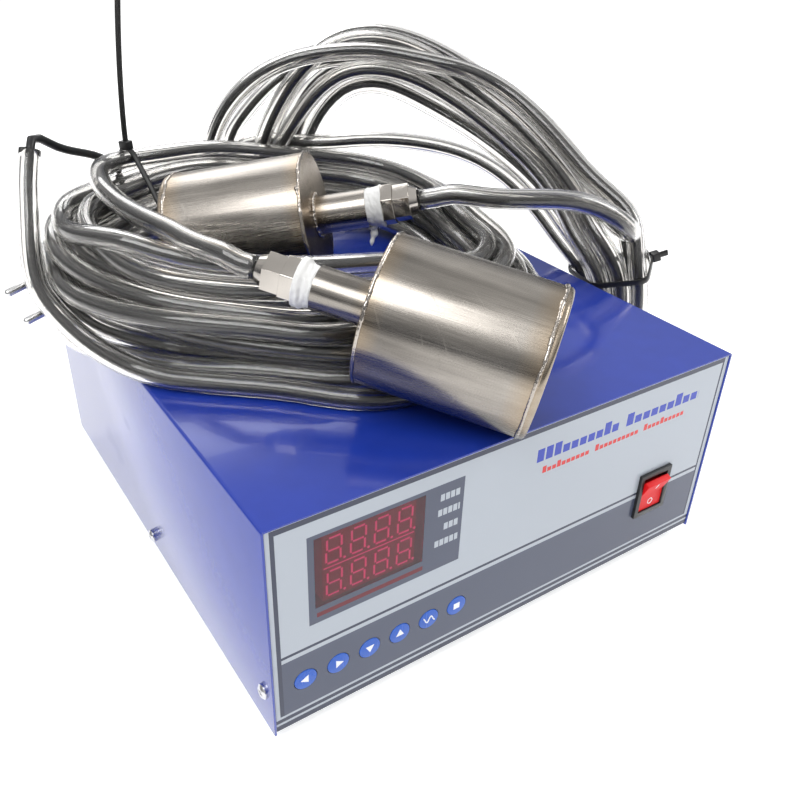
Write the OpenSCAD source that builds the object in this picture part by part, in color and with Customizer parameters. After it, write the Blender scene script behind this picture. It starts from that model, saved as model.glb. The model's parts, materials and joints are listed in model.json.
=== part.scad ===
// Ultrasonic generator with two submersible transducers on long sleeved leads.
// Millimetres. +X to the right seen from the front, +Y to the back, +Z up.
// The origin is on the floor under the middle of the case. The modules are drawn
// from the case's lower front left corner, and in_frame() moves them to the origin.

/* [Case] */
// Width of the case
case_w = 300; // [290:1:320]
// Depth of the case
case_d = 320; // [310:1:340]
// Height of the case, without its feet
case_h = 128; // [126:1:135]
// Thickness of the folded steel sheet
sheet = 1.2; // [1:0.1:1.5]
// Height of the rubber feet
foot_h = 8; // [6:1:12]
// Radius of a foot at the floor
foot_r = 9; // [8:1:12]
// Distance from a foot's centre to the two edges beside it
foot_inset = 30; // [25:1:45]
// Radius of a screw hole in the cover
screw_hole_r = 2.1; // [2:0.1:2.3]

/* [Front panel] */
// Distance from the cover's edge back to the printed overlay
panel_recess = 0.8; // [0.4:0.1:1.2]
// Thickness of the printed overlay
overlay_t = 0.5; // [0.3:0.1:0.6]
// Thickness of the panel behind the overlay
panel_t = 1.5; // [1.2:0.1:2]
// Left edge of the display window
window_x = 24.5; // [23:0.5:26]
// Lower edge of the display window
window_z = 72; // [71:0.5:73]
// Width of the display window
window_w = 59; // [57:0.5:60]
// Height of the display window
window_h = 40.5; // [40:0.5:41]
// Distance between the rows of digits
row_pitch = 19.2; // [19.2:0.1:19.8]

/* [Keys] */
// Centre of the first key, from the left edge
key_x = 18; // [17:0.5:20]
// Height of the keys' centres
key_z = 29; // [28:0.5:30]
// Distance between keys
key_pitch = 18; // [17:0.5:19]
// Diameter of a key
key_d = 12; // [11:0.5:13]
// How far a key goes in
key_travel = 0.5; // [0.3:0.1:0.6]

/* [Power switch] */
// Centre of the switch, from the left edge
rocker_x = 253.5; // [250:0.5:257]
// Height of the switch's centre
rocker_z = 46.5; // [45:0.5:48]
// Width of the switch's bezel
bezel_w = 26; // [25.5:0.5:27]
// Height of the switch's bezel
bezel_h = 31; // [30.5:0.5:32]
// Angle between the rocker's two positions
rocker_swing = 24; // [20:1:26]

/* [Back panel] */
// Side of the square fan
fan_size = 80; // [80:1:80]
// Centre of the fan, from the left edge
fan_x = 214; // [205:1:225]
// Height of the fan's centre
fan_z = 64; // [60:1:68]
// How far the mains gland stands out of the back
gland_reach = 28; // [26:0.5:30]

/* [Transducers] */
// Diameter of a transducer's can
can_d = 74; // [70:1:80]
// Length of the can over its two welded plates
can_l = 85; // [82:1:100]
// Thickness of the plate that radiates the sound
face_t = 4.5; // [3:0.5:6]
// Thickness of the plate at the neck
plate_t = 2; // [1.5:0.5:3]
// Diameter of the neck pipe
neck_d = 22.5; // [21:0.5:25]
// Length of the neck pipe
neck_l = 31; // [28:1:34]
// Width across the flats of the gland and its nut
hex_af = 19; // [18.5:0.5:20]

/* [Leads] */
// Outer diameter of the clear hose over each lead
hose_d = 12; // [11:1:13]
// Diameter of the black cable inside it
cable_d = 5; // [4.5:0.5:6]
// Diameter of the mains cord
mains_d = 7; // [6:0.5:8]

/* [Hidden] */

$fn = 48;
gap = 0.2;                                     // side clearance of pieces fitted in sheet metal
panel_y = panel_recess + overlay_t;            // front of the panel plate
panel_back = panel_y + panel_t;                // back of the panel plate
overlay_edge = sheet + 0.4;                    // edge of the overlay, from the case's outside
digits_w = 50.3;                               // four-digit module
digits_h = 19;
digits_t = 8;
board_y = panel_back + gap + digits_t;         // front of the display board
window_mid = window_z + window_h/2;
tray_flange = 12;                              // height of the tray's side flanges
back_y = case_d - sheet;                       // inside of the back wall
side_screw_front = [9, 24];                    // distance back and height of each screw
side_screw_back = [165, 6];
socket_xs = [66, 98];                          // the two output sockets
socket_z = 58;
socket_r = 8;
socket_reach = 9;
gland_x = 24;
gland_z = 30;
fuse_x = 24;
fuse_z = 66;
fuse_reach = 10;

// Transducers: centre of the sound face, and the direction from the face to the neck
t1_face = [148, -3, 165];
t1_axis = [-0.639, 0.745, 0.189];
t2_face = [64, 234, 165.2];
t2_axis = [0.765, -0.605, 0.21];
can_r = can_d/2;
can_wall = 1.5;
bead_r = 0.9;                                  // half the width of a weld bead
neck_r = neck_d/2;
neck_bore_r = neck_r - 2;
neck_end = can_l + neck_l;
tape_l = 9;
front_mass_l = 26;
ring_pitch = 4.8;                              // ceramic ring with its electrode
body_l = 7;
body_end = neck_end + tape_l + body_l;
nut_l = 14;
entry = body_end + nut_l;                      // where the hose leaves the gland

// Routes of the leads, in the case's own coordinates
lead_1 = [t1_face + entry*t1_axis, [36, 137, 201], [27, 172, 205], [21, 215, 206], [27, 262, 206],
    [44, 295, 204], [66, 308, 192]];
lead_2 = [t2_face + entry*t2_axis, [204, 119, 204], [238, 100, 204], [276, 90, 194], [306, 92, 172],
    [322, 114, 132]];
hose_end_1 = [[2, 150, 145], [-12, 170, 148], [-20, 202, 160], [-20, 236, 180], [-15, 256, 200],
    [-8, 266, 219]];
hose_end_2 = [[204, 346, 190], [176, 360, 182], [150, 362, 170]];
tail_1 = [[-8, 266, 219], [16, 288, 210], [44, 308, 196], [60, 336, 168], [64, 362, 130], [66, 374, 92],
    [66, 368, 66], [socket_xs[0], 348, socket_z]];
tail_2 = [[150, 362, 170], [128, 362, 158], [112, 370, 130], [102, 374, 96], [98, 368, 66],
    [socket_xs[1], 348, socket_z]];
mains_route = [[30, 262, 150], [40, 278, 150], [50, 298, 142], [52, 318, 136], [50, 340, 118],
    [46, 350, 82], [52, 356, 44], [80, 364, 14], [108, 378, 3], [117, 405, -2]];
mains_end = [[39, 405, 2], [38, 385, 10], [32, 368, 22], [26, 358, 28],
    [gland_x, case_d + gland_reach, gland_z]];
coil_1_at = [115, 190];                        // centre of the coil that lies on the case
coil_1_r = 124;                                // radius at the middle of its turns
coil_2 = [[322, 114, 132], [318, 158, 174], [311, 215, 206], [287, 265, 233], [252, 303, 250],
    [220, 324, 242], [200, 340, 208], [190, 356, 160], [196, 370, 104], [220, 378, 52],
    [265, 376, 24], [322, 350, 18], [352, 282, 18], [358, 204, 28], [346, 146, 66]];
mains_coil_at = [78, 405];
mains_coil_r = 39;
plug_at = [-16, 255, 138];
plug_axis = [0.959, 0.134, 0.247];

function unit(v) = v/norm(v);
function turned(p, a) = [p[0]*cos(a) - p[1]*sin(a), p[0]*sin(a) + p[1]*cos(a)];
function bump(a, mid, half) = abs(a - mid) >= half ? 0 : pow(cos((a - mid)*90/half), 2);
// A smooth line through the points P, with n steps from one to the next
function smooth(P, n) = [
    for (i = [0:len(P) - 2]) for (k = [0:n - 1])
        let (t = k/n, a = P[max(i - 1, 0)], b = P[i], c = P[i + 1], d = P[min(i + 2, len(P) - 1)])
        0.5*(2*b + (c - a)*t + (2*a - 5*b + 4*c - d)*t*t + (3*b - a - 3*c + d)*t*t*t),
    P[len(P) - 1]];
function along(P, i) = unit(P[min(i + 1, len(P) - 1)] - P[max(i - 1, 0)]);
// The side direction of each ring, carried along the line without twist
function sides(P, i, last, out) = i == len(P) ? out :
    let (t = along(P, i), s = unit(last - (last*t)*t)) sides(P, i + 1, s, concat(out, [s]));
function first_side(P) = let (t = along(P, 0)) unit(cross(t, abs(t[2]) > 0.9 ? [1, 0, 0] : [0, 0, 1]));

module in_frame() translate([-case_w/2, -case_d/2, foot_h]) children();
module point_along(at, axis) {
    a = unit(axis);
    translate(at) rotate([0, acos(a[2]), atan2(a[1], a[0])]) children();
}
// A round tube swept along a route, with m sides
module swept(route, r, m, n) {
    P = smooth(route, n);
    S = sides(P, 0, first_side(P), []);
    rings = [for (i = [0:len(P) - 1]) for (k = [0:m - 1])
        let (t = along(P, i), u = S[i], v = cross(t, u), a = 360*k/m) P[i] + r*(cos(a)*u + sin(a)*v)];
    ends = [[for (k = [m - 1:-1:0]) k], [for (k = [0:m - 1]) (len(P) - 1)*m + k]];
    walls = [for (i = [0:len(P) - 2]) for (k = [0:m - 1])
        [i*m + k, i*m + (k + 1)%m, (i + 1)*m + (k + 1)%m, (i + 1)*m + k]];
    polyhedron(rings, concat(ends, walls), convexity = 8);
}
// A closed ring from its sections, each a list of m points
module closed_ring(sections) {
    n = len(sections);
    m = len(sections[0]);
    polyhedron([for (s = sections) each s], [for (i = [0:n - 1]) for (k = [0:m - 1])
        [i*m + k, i*m + (k + 1)%m, ((i + 1)%n)*m + (k + 1)%m, ((i + 1)%n)*m + k]], convexity = 8);
}
// A cylinder that lies along Y, from y0 to y1
module rod_y(x, z, r, y0, y1) translate([x, y0, z]) rotate([-90, 0, 0]) cylinder(r = r, h = y1 - y0);
module rod_x(y, z, r, x0, x1) translate([x0, y, z]) rotate([0, 90, 0]) cylinder(r = r, h = x1 - x0);
module block(low, high) translate(low) cube(high - low);
module hexagon(af, h) cylinder(r = af/2/cos(30), h = h, $fn = 6);

// ---- Case ----

module screw_holes(r) for (s = [side_screw_front, side_screw_back]) rod_x(s[0], s[1], r, -5, case_w + 5);

module case_cover() color("#2b34b8") in_frame() difference() {
    block([0, 0, 0], [case_w, case_d, case_h]);
    block([sheet, -1, -1], [case_w - sheet, case_d + 1, case_h - sheet]);
    screw_holes(screw_hole_r);
}

module base_tray() color("#b9bcc0") in_frame() {
    x0 = sheet + gap;
    x1 = case_w - sheet - gap;
    top = case_h - sheet - gap;
    difference() {
        union() {
            block([x0, panel_back + gap, 0], [x1, case_d, sheet]);
            block([x0, back_y, 0], [x1, case_d, top]);
            block([x0, back_y - 10, top - sheet], [x1, case_d, top]);
            for (x = [x0, x1 - sheet]) block([x, 20, 0], [x + sheet, case_d, tray_flange]);
        }
        screw_holes(screw_hole_r);
        rod_y(fan_x, fan_z, fan_size/2 - 2, back_y - 1, case_d + 1);
        for (x = [-1, 1], z = [-1, 1])
            rod_y(fan_x + x*35.75, fan_z + z*35.75, 2.2, back_y - 1, case_d + 1);
        for (x = socket_xs) rod_y(x, socket_z, socket_r, back_y - 1, case_d + 1);
        rod_y(gland_x, gland_z, 7.5, back_y - 1, case_d + 1);
        rod_y(fuse_x, fuse_z, 6.3, back_y - 1, case_d + 1);
        for (k = [0:9]) block([70 + 16*k, 40, -1], [76 + 16*k, 90, sheet + 1]);
    }
    for (x = [45, 165], y = [80, 220]) translate([x, y, sheet]) cylinder(r = 3.5, h = 8);
}

module cover_screws() color("#c8c8c8") in_frame()
    for (s = [side_screw_front, side_screw_back], side = [0, 1])
        translate([side*case_w, s[0], s[1]]) rotate([0, side ? 90 : -90, 0]) {
            difference() {
                union() {
                    cylinder(r = 4, h = 1.2);
                    translate([0, 0, 1.2]) cylinder(r1 = 4, r2 = 2.8, h = 1);
                }
                for (a = [0, 90]) rotate(a) translate([-0.5, -2.2, 0.9]) cube([1, 4.4, 2]);
            }
            translate([0, 0, -7]) cylinder(r = 1.9, h = 7);
        }

module rubber_feet() color("#1c1c1c") in_frame()
    for (x = [foot_inset, case_w - foot_inset], y = [foot_inset, case_d - foot_inset])
        translate([x, y, -foot_h]) difference() {
            cylinder(r1 = foot_r, r2 = foot_r + 2, h = foot_h);
            translate([0, 0, -1]) cylinder(r = 3.5, h = 4);
        }

// ---- Front ----

module window_outline(grow, y0, y1)
    block([window_x - grow, y0, window_z - grow], [window_x + window_w + grow, y1, window_z + window_h + grow]);
module switch_hole(y0, y1)
    block([rocker_x - 11, y0, rocker_z - 14], [rocker_x + 11, y1, rocker_z + 14]);
module key_holes(r, y0, y1)
    for (k = [0:5]) rod_y(key_x + k*key_pitch, key_z, r, y0, y1);

module front_panel() color("#9aa0a6") in_frame() {
    x0 = sheet + gap;
    x1 = case_w - sheet - gap;
    difference() {
        block([x0, panel_y, sheet], [x1, panel_back, case_h - sheet - gap]);
        window_outline(gap, 0, panel_back + 1);
        switch_hole(0, panel_back + 1);
        key_holes(key_d/2 + 0.3, 0, panel_back + 1);
    }
    for (x = [x0, x1 - sheet]) difference() {
        block([x, panel_back, sheet + gap], [x + sheet, 18, case_h - sheet - gap]);
        screw_holes(screw_hole_r);
    }
    for (x = [20, 112], z = [52, 119]) rod_y(x, z, 2.5, panel_back, board_y);
}

module front_overlay() color("#d9dee8") in_frame() difference() {
    block([overlay_edge, panel_recess, overlay_edge], [case_w - overlay_edge, panel_y, case_h - overlay_edge]);
    window_outline(0.1, 0, 3);
    switch_hole(0, 3);
    key_holes(key_d/2 + 0.3, 0, 3);
}

module display_window() color("#a01030") in_frame() window_outline(0, panel_recess, panel_back);

module led_modules() color("#2a1015") in_frame()
    for (s = [-1, 1])
        translate([window_x + window_w/2, board_y - digits_t, window_mid + s*row_pitch/2])
            difference() {
                block([-digits_w/2, 0, -digits_h/2], [digits_w/2, digits_t, digits_h/2]);
                for (k = [-1.5:1.5]) rod_y(k*12.7 + 5, -7.1, 0.7, -1, 0.4);
            }

module display_board() color("#1f6b3a") in_frame()
    block([14, board_y, 20], [118, board_y + 1.6, 122]);

module key_cap(k) color("#1f55c8") in_frame() {
    x = key_x + k*key_pitch;
    rod_y(x, key_z, key_d/2, panel_recess - 0.3, panel_y + 1);
    rod_y(x, key_z, 2, panel_y + 1, board_y - 4.5);
}
module key_left() key_cap(0);
module key_right() key_cap(1);
module key_down() key_cap(2);
module key_up() key_cap(3);
module key_wave() key_cap(4);
module key_stop() key_cap(5);

module key_switches() color("#202020") in_frame()
    for (k = [0:5]) translate([key_x + k*key_pitch, board_y, key_z]) {
        block([-3, -3, -3], [3, 0, 3]);
        rod_y(0, 0, 1.7, -4.5 + key_travel + 0.4, -3);
    }

module switch_housing() color("#181818") in_frame() translate([rocker_x, 0, rocker_z]) {
    face = panel_recess - 2;
    difference() {
        union() {
            block([-bezel_w/2, face, -bezel_h/2], [bezel_w/2, panel_recess, bezel_h/2]);
            block([-10.75, panel_recess, -13.75], [10.75, 26, 13.75]);
        }
        block([-10, face - 1, -12.5], [10, 22, 12.5]);
        rod_x(panel_recess + 4, 0, 1.5, -11, 11);
    }
    for (z = [-9, 0, 9]) block([-3.2, 26, z - 0.4], [3.2, 34, z + 0.4]);
}

// The rocker turns on two pins. Its lower half is pressed in and its upper half stands out.
// The outline is drawn from the pivot, with the lower half pressed in and the upper half as its mirror.
module power_rocker() color("#d81e1e") in_frame() translate([rocker_x, panel_recess + 4, rocker_z]) {
    half = 12.2;
    face = 5.1;
    low = [[-face, -half], [-1.7, -half], [1, -6], [4, -2.5]];
    up = [for (k = [3:-1:0]) turned([low[k][0], -low[k][1]], rocker_swing)];
    ridge = [-face, -face*tan(rocker_swing/2)];
    rotate([90, 0, 90]) translate([0, 0, -9.6]) linear_extrude(19.2) polygon(concat(low, up, [ridge]));
    rod_x(0, 0, 1.45, -10.7, 10.7);
}

// ---- Back ----

module fan_frame() color("#1a1a1a") in_frame() translate([fan_x, back_y - gap, fan_z]) rotate([90, 0, 0]) {
    difference() {
        translate([-fan_size/2, -fan_size/2, 0]) cube([fan_size, fan_size, 25]);
        translate([0, 0, -1]) cylinder(r = 38, h = 27);
        for (x = [-1, 1], y = [-1, 1]) translate([x*35.75, y*35.75, -1]) cylinder(r = 2.2, h = 27);
    }
    difference() {
        union() {
            translate([0, 0, 21]) cylinder(r = 14, h = 4);
            for (a = [45:90:315]) rotate(a) translate([13, -1.5, 22]) cube([25.5, 3, 3]);
        }
        translate([0, 0, 18]) cylinder(r = 2.05, h = 8);
    }
}

module fan_rotor() color("#262626") in_frame() translate([fan_x, back_y - gap, fan_z]) rotate([90, 0, 0]) {
    translate([0, 0, 2]) cylinder(r = 15, h = 18);
    translate([0, 0, 20]) cylinder(r = 2, h = 4.5);
    intersection() {
        translate([0, 0, 2]) cylinder(r = 36.5, h = 18);
        for (k = [0:6]) rotate(k*360/7) translate([14, 0, 11]) rotate([38, 0, 0])
            translate([0, -0.6, -14]) cube([24, 1.2, 28]);
    }
}

module fan_guard() color("#c0c0c4") in_frame() translate([fan_x, case_d + 1.5, fan_z]) rotate([-90, 0, 0]) {
    for (r = [10:7:38]) rotate_extrude() translate([r, 0]) circle(r = 0.8, $fn = 12);
    difference() {
        for (a = [45, 135]) rotate(a) translate([-50.5, -2, -1.5]) cube([101, 4, 1.5]);
        for (x = [-1, 1], y = [-1, 1]) translate([x*35.75, y*35.75, -2]) cylinder(r = 2.2, h = 3);
    }
}

module fan_screws() color("#c8c8c8") in_frame()
    for (x = [-1, 1], z = [-1, 1])
        translate([fan_x + x*35.75, case_d + 1.6, fan_z + z*35.75]) rotate([-90, 0, 0]) {
            cylinder(r = 3.6, h = 1.8);
            translate([0, 0, -12]) cylinder(r = 1.9, h = 12);
        }

module mains_gland() color("#161616") in_frame() translate([gland_x, 0, gland_z]) difference() {
    union() {
        rod_y(0, 0, 7.4, back_y - 8, case_d);
        translate([0, case_d, 0]) rotate([-90, 0, 0]) hexagon(20, 6);
        translate([0, back_y - 6, 0]) rotate([-90, 0, 0]) hexagon(20, 5);
        rod_y(0, 0, 8.5, case_d + 6, case_d + 14);
        translate([0, case_d + 14, 0]) rotate([-90, 0, 0]) cylinder(r1 = 8.5, r2 = 5.5, h = gland_reach - 14);
    }
    rod_y(0, 0, mains_d/2, back_y - 9, case_d + gland_reach + 1);
}

module output_sockets() color("#c9cacc") in_frame()
    for (x = socket_xs) translate([x, 0, socket_z]) difference() {
        union() {
            rod_y(0, 0, socket_r - 0.1, back_y - 12, case_d + socket_reach);
            rod_y(0, 0, socket_r + 2.5, case_d, case_d + 2.5);
            translate([0, back_y - 3, 0]) rotate([-90, 0, 0]) hexagon(20, 2.8);
        }
        rod_y(0, 0, socket_r - 1.5, case_d - 2, case_d + socket_reach + 1);
    }

module fuse_holder() color("#171717") in_frame() translate([fuse_x, 0, fuse_z]) difference() {
    union() {
        rod_y(0, 0, 6.2, back_y - 26, case_d);
        rod_y(0, 0, 9, case_d, case_d + 3);
        translate([0, back_y - 4.2, 0]) rotate([-90, 0, 0]) hexagon(17, 4);
    }
    rod_y(0, 0, 5, back_y - 22, case_d + 4);
}

module fuse_cap() color("#242424") in_frame() translate([fuse_x, 0, fuse_z]) difference() {
    union() {
        rod_y(0, 0, 4.95, back_y - 4, case_d + 3.3);
        rod_y(0, 0, 7.5, case_d + 3.3, case_d + fuse_reach);
    }
    block([-0.8, case_d + fuse_reach - 1.5, -6], [0.8, case_d + fuse_reach + 1, 6]);
}

// ---- Inside ----

module main_board() color("#22703c") in_frame() block([35, 60, sheet + 8], [175, 240, sheet + 9.6]);

module transformer() color("#4a4038") in_frame() translate([70, 190, sheet + 9.6]) {
    block([-26, -22, 0], [26, 22, 8]);
    block([-26, -22, 36], [26, 22, 44]);
    for (x = [-26, 16]) block([x, -22, 8], [x + 10, 22, 36]);
    translate([0, 0, 8]) cylinder(r = 14.5, h = 28);
}

module heatsink() color("#b4b8bc") in_frame() translate([186, 70, sheet]) {
    block([0, 0, 0], [8, 130, 70]);
    for (k = [0:9]) block([8, 2 + 13.5*k, 0], [38, 5 + 13.5*k, 70]);
}

module board_components() color("#2c3a6a") in_frame() translate([0, 0, sheet + 9.6]) {
    for (y = [85, 115]) translate([60, y, 0]) cylinder(r = 12.5, h = 42);
    translate([120, 100, 0]) difference() {
        cylinder(r = 18, h = 16);
        translate([0, 0, -1]) cylinder(r = 9, h = 18);
    }
    for (k = [0:3]) block([178, 80 + 28*k, 12], [185.9, 96 + 28*k, 32]);
    for (k = [0:2]) block([130, 150 + 24*k, 0], [162, 162 + 24*k, 18]);
}

// ---- Transducers ----

module t1() in_frame() point_along(t1_face, t1_axis) children();
module t2() in_frame() point_along(t2_face, t2_axis) children();

module weld_bead(z) translate([0, 0, z]) rotate_extrude($fn = 96)
    translate([can_r - 0.5, 0]) circle(r = bead_r, $fn = 16);
module face_plate() {
    edge = 2;
    cylinder(r = can_r - edge, h = face_t, $fn = 96);
    translate([0, 0, edge]) cylinder(r = can_r, h = face_t - edge, $fn = 96);
    translate([0, 0, edge]) rotate_extrude($fn = 96) translate([can_r - edge, 0]) circle(r = edge);
    weld_bead(face_t - bead_r);
}
module can() difference() {
    translate([0, 0, face_t]) cylinder(r = can_r, h = can_l - plate_t - face_t, $fn = 96);
    translate([0, 0, face_t - 1]) cylinder(r = can_r - can_wall, h = can_l, $fn = 96);
}
module neck_plate() translate([0, 0, can_l - plate_t]) difference() {
    union() {
        cylinder(r = can_r, h = plate_t, $fn = 96);
        weld_bead(plate_t/2);
    }
    translate([0, 0, -1]) cylinder(r = neck_bore_r, h = plate_t + 2);
}
module neck() difference() {
    union() {
        translate([0, 0, can_l]) cylinder(r = neck_r, h = neck_l);
        translate([0, 0, can_l]) cylinder(r1 = neck_r + 1.5, r2 = neck_r, h = 2);
        translate([0, 0, neck_end]) cylinder(r = 8.5, h = tape_l);
    }
    translate([0, 0, can_l - 1]) cylinder(r = 6.5, h = neck_l + tape_l + 2);
}
module thread_tape() difference() {
    translate([0, 0, neck_end]) cylinder(r = 10.8, h = tape_l);
    translate([0, 0, neck_end - 1]) cylinder(r = 8.5, h = tape_l + 2);
}
module gland_body() difference() {
    translate([0, 0, neck_end + tape_l]) hexagon(hex_af + 2, body_l);
    translate([0, 0, neck_end + tape_l - 1]) cylinder(r = hose_d/2, h = body_l + 2);
}
module gland_nut() difference() {
    union() {
        translate([0, 0, body_end]) hexagon(hex_af, nut_l - 4.5);
        translate([0, 0, body_end + nut_l - 4.5]) cylinder(r1 = hex_af/2 - 0.5, r2 = hose_d/2 + 1, h = 4.5);
    }
    translate([0, 0, body_end - 1]) cylinder(r = hose_d/2, h = nut_l + 2);
}
// The driver stack: a tapered front mass, four ceramic rings and a back mass on one bolt
module front_mass() translate([0, 0, face_t]) cylinder(r1 = 30, r2 = 23, h = front_mass_l);
module rings() for (k = [0:3]) translate([0, 0, face_t + front_mass_l + 0.3 + ring_pitch*k]) difference() {
    cylinder(r = 22.5, h = ring_pitch - 0.3);
    translate([0, 0, -1]) cylinder(r = 8, h = 7);
}
module back_mass() translate([0, 0, face_t + front_mass_l + 4*ring_pitch + 0.3]) {
    cylinder(r = 22.5, h = 16);
    translate([0, 0, 16]) hexagon(17, 6);
    translate([0, 0, -4*ring_pitch - 0.1]) cylinder(r = 5, h = 4*ring_pitch + 0.2);
}

module t1_can() color("#b3aea3") t1() can();
module t1_face_plate() color("#bdb8ac") t1() face_plate();
module t1_neck_plate() color("#bdb8ac") t1() neck_plate();
module t1_neck() color("#b3aea3") t1() neck();
module t1_thread_tape() color("#f0f0ee") t1() thread_tape();
module t1_gland_body() color("#c9cacc") t1() gland_body();
module t1_gland_nut() color("#c9cacc") t1() gland_nut();
module t2_can() color("#b3aea3") t2() can();
module t2_face_plate() color("#bdb8ac") t2() face_plate();
module t2_neck_plate() color("#bdb8ac") t2() neck_plate();
module t2_neck() color("#b3aea3") t2() neck();
module t2_thread_tape() color("#f0f0ee") t2() thread_tape();
module t2_gland_body() color("#c9cacc") t2() gland_body();
module t2_gland_nut() color("#c9cacc") t2() gland_nut();
module front_masses() color("#b8bcc0") { t1() front_mass(); t2() front_mass(); }
module piezo_rings() color("#5a5048") { t1() rings(); t2() rings(); }
module back_masses() color("#8e9094") { t1() back_mass(); t2() back_mass(); }

// ---- Leads ----

// Room that a coil leaves for a transducer
module transducer_room(at, axis) point_along(at, axis) {
    translate([0, 0, -1]) cylinder(r = can_r + 1.5, h = can_l + 2);
    translate([0, 0, can_l]) cylinder(r = neck_r + 2, h = entry - can_l + 1);
}

module hose_lead_1() color("#9a9a98") in_frame() swept(lead_1, hose_d/2, 10, 3);
module hose_lead_2() color("#9a9a98") in_frame() swept(lead_2, hose_d/2, 10, 2);

// The outer shape of the coil on the case: high at the back left, over the plug, drawn in at the front
// left, and wide at the back right. The hose's open end stands up from it.
module hose_coil_1() color("#8f8f90") in_frame() {
    difference() {
        closed_ring([for (i = [0:47]) let (
                a = i*7.5 - 180,
                left = bump(a, -180, 70) + bump(a, 180, 70),
                low = case_h + 0.3,
                front = bump(a, -128, 80) + bump(a, 232, 80),
                high = case_h + 44 + 28*bump(a, 105, 90) + 20*left + 18*bump(a, -110, 80),
                r = coil_1_r + 30*bump(a, 36, 60) - 4*left - 32*front,
                w = 26 + 10*bump(a, 10, 110) + 12*bump(a, -100, 80))
            [for (k = [0:11]) let (p = 30*k + 15)
                [coil_1_at[0] + (r + w*1.05*cos(p))*cos(a), coil_1_at[1] + (r + w*1.05*cos(p))*sin(a),
                    (low + high)/2 + (high - low)/2*sin(p)]]]);
        transducer_room(t1_face, t1_axis);
        transducer_room(t2_face, t2_axis);
        point_along(plug_at - 25*plug_axis, plug_axis) cylinder(r = 19, h = 75);
    }
    swept(hose_end_1, hose_d/2, 10, 3);
}

// The outer shape of the coil that stands behind the case: wide over the arch, close at the tie
module hose_coil_2() color("#8f8f90") in_frame() {
    loop = concat(coil_2, [coil_2[0], coil_2[1], coil_2[2]]);
    fine = smooth(loop, 3);
    n = 3*len(coil_2);
    P = [for (i = [0:n - 1]) fine[(i < 3 ? i + n : i)]];
    mid = [240, 250, 120];
    closed_ring([for (i = [0:n - 1]) let (
            t = unit(P[(i + 1)%n] - P[(i + n - 1)%n]),
            u = unit((P[i] - mid) - ((P[i] - mid)*t)*t), v = cross(t, u),
            arch = bump(i, 14, 10), spread = 20 + 14*bump(i, 15, 15))
        [for (k = [0:9]) P[i] + (4 - 22*arch + (20 + 22*arch)*cos(36*k))*u + (spread*sin(36*k) - 3)*v]]);
    swept(hose_end_2, hose_d/2, 10, 3);
}

module cable_tail_1() color("#151515") in_frame() swept(tail_1, cable_d/2, 8, 3);
module cable_tail_2() color("#151515") in_frame() swept(tail_2, cable_d/2, 8, 3);

// A round cable plug screwed on an output socket
module cable_plug(x) translate([x, case_d + socket_reach, socket_z]) rotate([-90, 0, 0]) {
    difference() {
        union() {
            translate([0, 0, -6]) cylinder(r = socket_r + 2, h = 12);
            translate([0, 0, 6]) cylinder(r = 7.5, h = 8);
            translate([0, 0, 14]) cylinder(r1 = 7, r2 = cable_d/2 + 1, h = 5);
        }
        translate([0, 0, -7]) cylinder(r = socket_r, h = 7);
    }
}
module cable_plug_1() color("#bfc0c2") in_frame() cable_plug(socket_xs[0]);
module cable_plug_2() color("#bfc0c2") in_frame() cable_plug(socket_xs[1]);

module mains_cord() color("#141414") in_frame() {
    swept(mains_route, mains_d/2, 8, 3);
    swept(mains_end, mains_d/2, 8, 3);
}
module mains_coil() color("#141414") in_frame()
    translate([mains_coil_at[0], mains_coil_at[1], -foot_h]) rotate_extrude()
        translate([mains_coil_r - 8, 0]) square([16, 20]);

module mains_plug() color("#141414") in_frame() point_along(plug_at, plug_axis) {
    cylinder(r = 17.5, h = 7);
    translate([0, 0, 7]) cylinder(r1 = 13.5, r2 = 9, h = 22);
    translate([0, 0, 29]) cylinder(r1 = 6, r2 = mains_d/2 + 0.6, h = 20);
}
module plug_pins() color("#cfcfcf") in_frame() point_along(plug_at, plug_axis)
    rotate(58) for (y = [-9.5, 9.5]) translate([0, y, -19]) {
        cylinder(r = 2.4, h = 19);
        translate([0, 0, 0]) sphere(r = 2.4);
    }

// A tie round a bundle: a strap of the given half width and half height, with its head on top
module tie(w, h, tail) {
    rotate([90, 0, 0]) linear_extrude(4, center = true) difference() {
        hull() for (x = [-1, 1], y = [-1, 1]) translate([x*(w - 8), y*(h - 8)]) circle(r = 9.4, $fn = 32);
        hull() for (x = [-1, 1], y = [-1, 1]) translate([x*(w - 8), y*(h - 8)]) circle(r = 8, $fn = 32);
    }
    translate([-3.5, -3, h + 0.8]) cube([7, 6, 6]);
    translate([-0.7, -2, h + 5]) cube([1.4, 4, tail]);
}
module cable_ties() color("#101010") in_frame() {
    translate([58, 300, 168]) rotate(117) tie(30, 38, 98);
    translate([327, 110, 132]) rotate([80, -15, 0]) rotate([0, 90, 0]) tie(23, 23, 10);
    translate([mains_coil_at[0] - mains_coil_r, mains_coil_at[1], -foot_h + 12.5]) tie(9.4, 11, 6);
}

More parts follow.
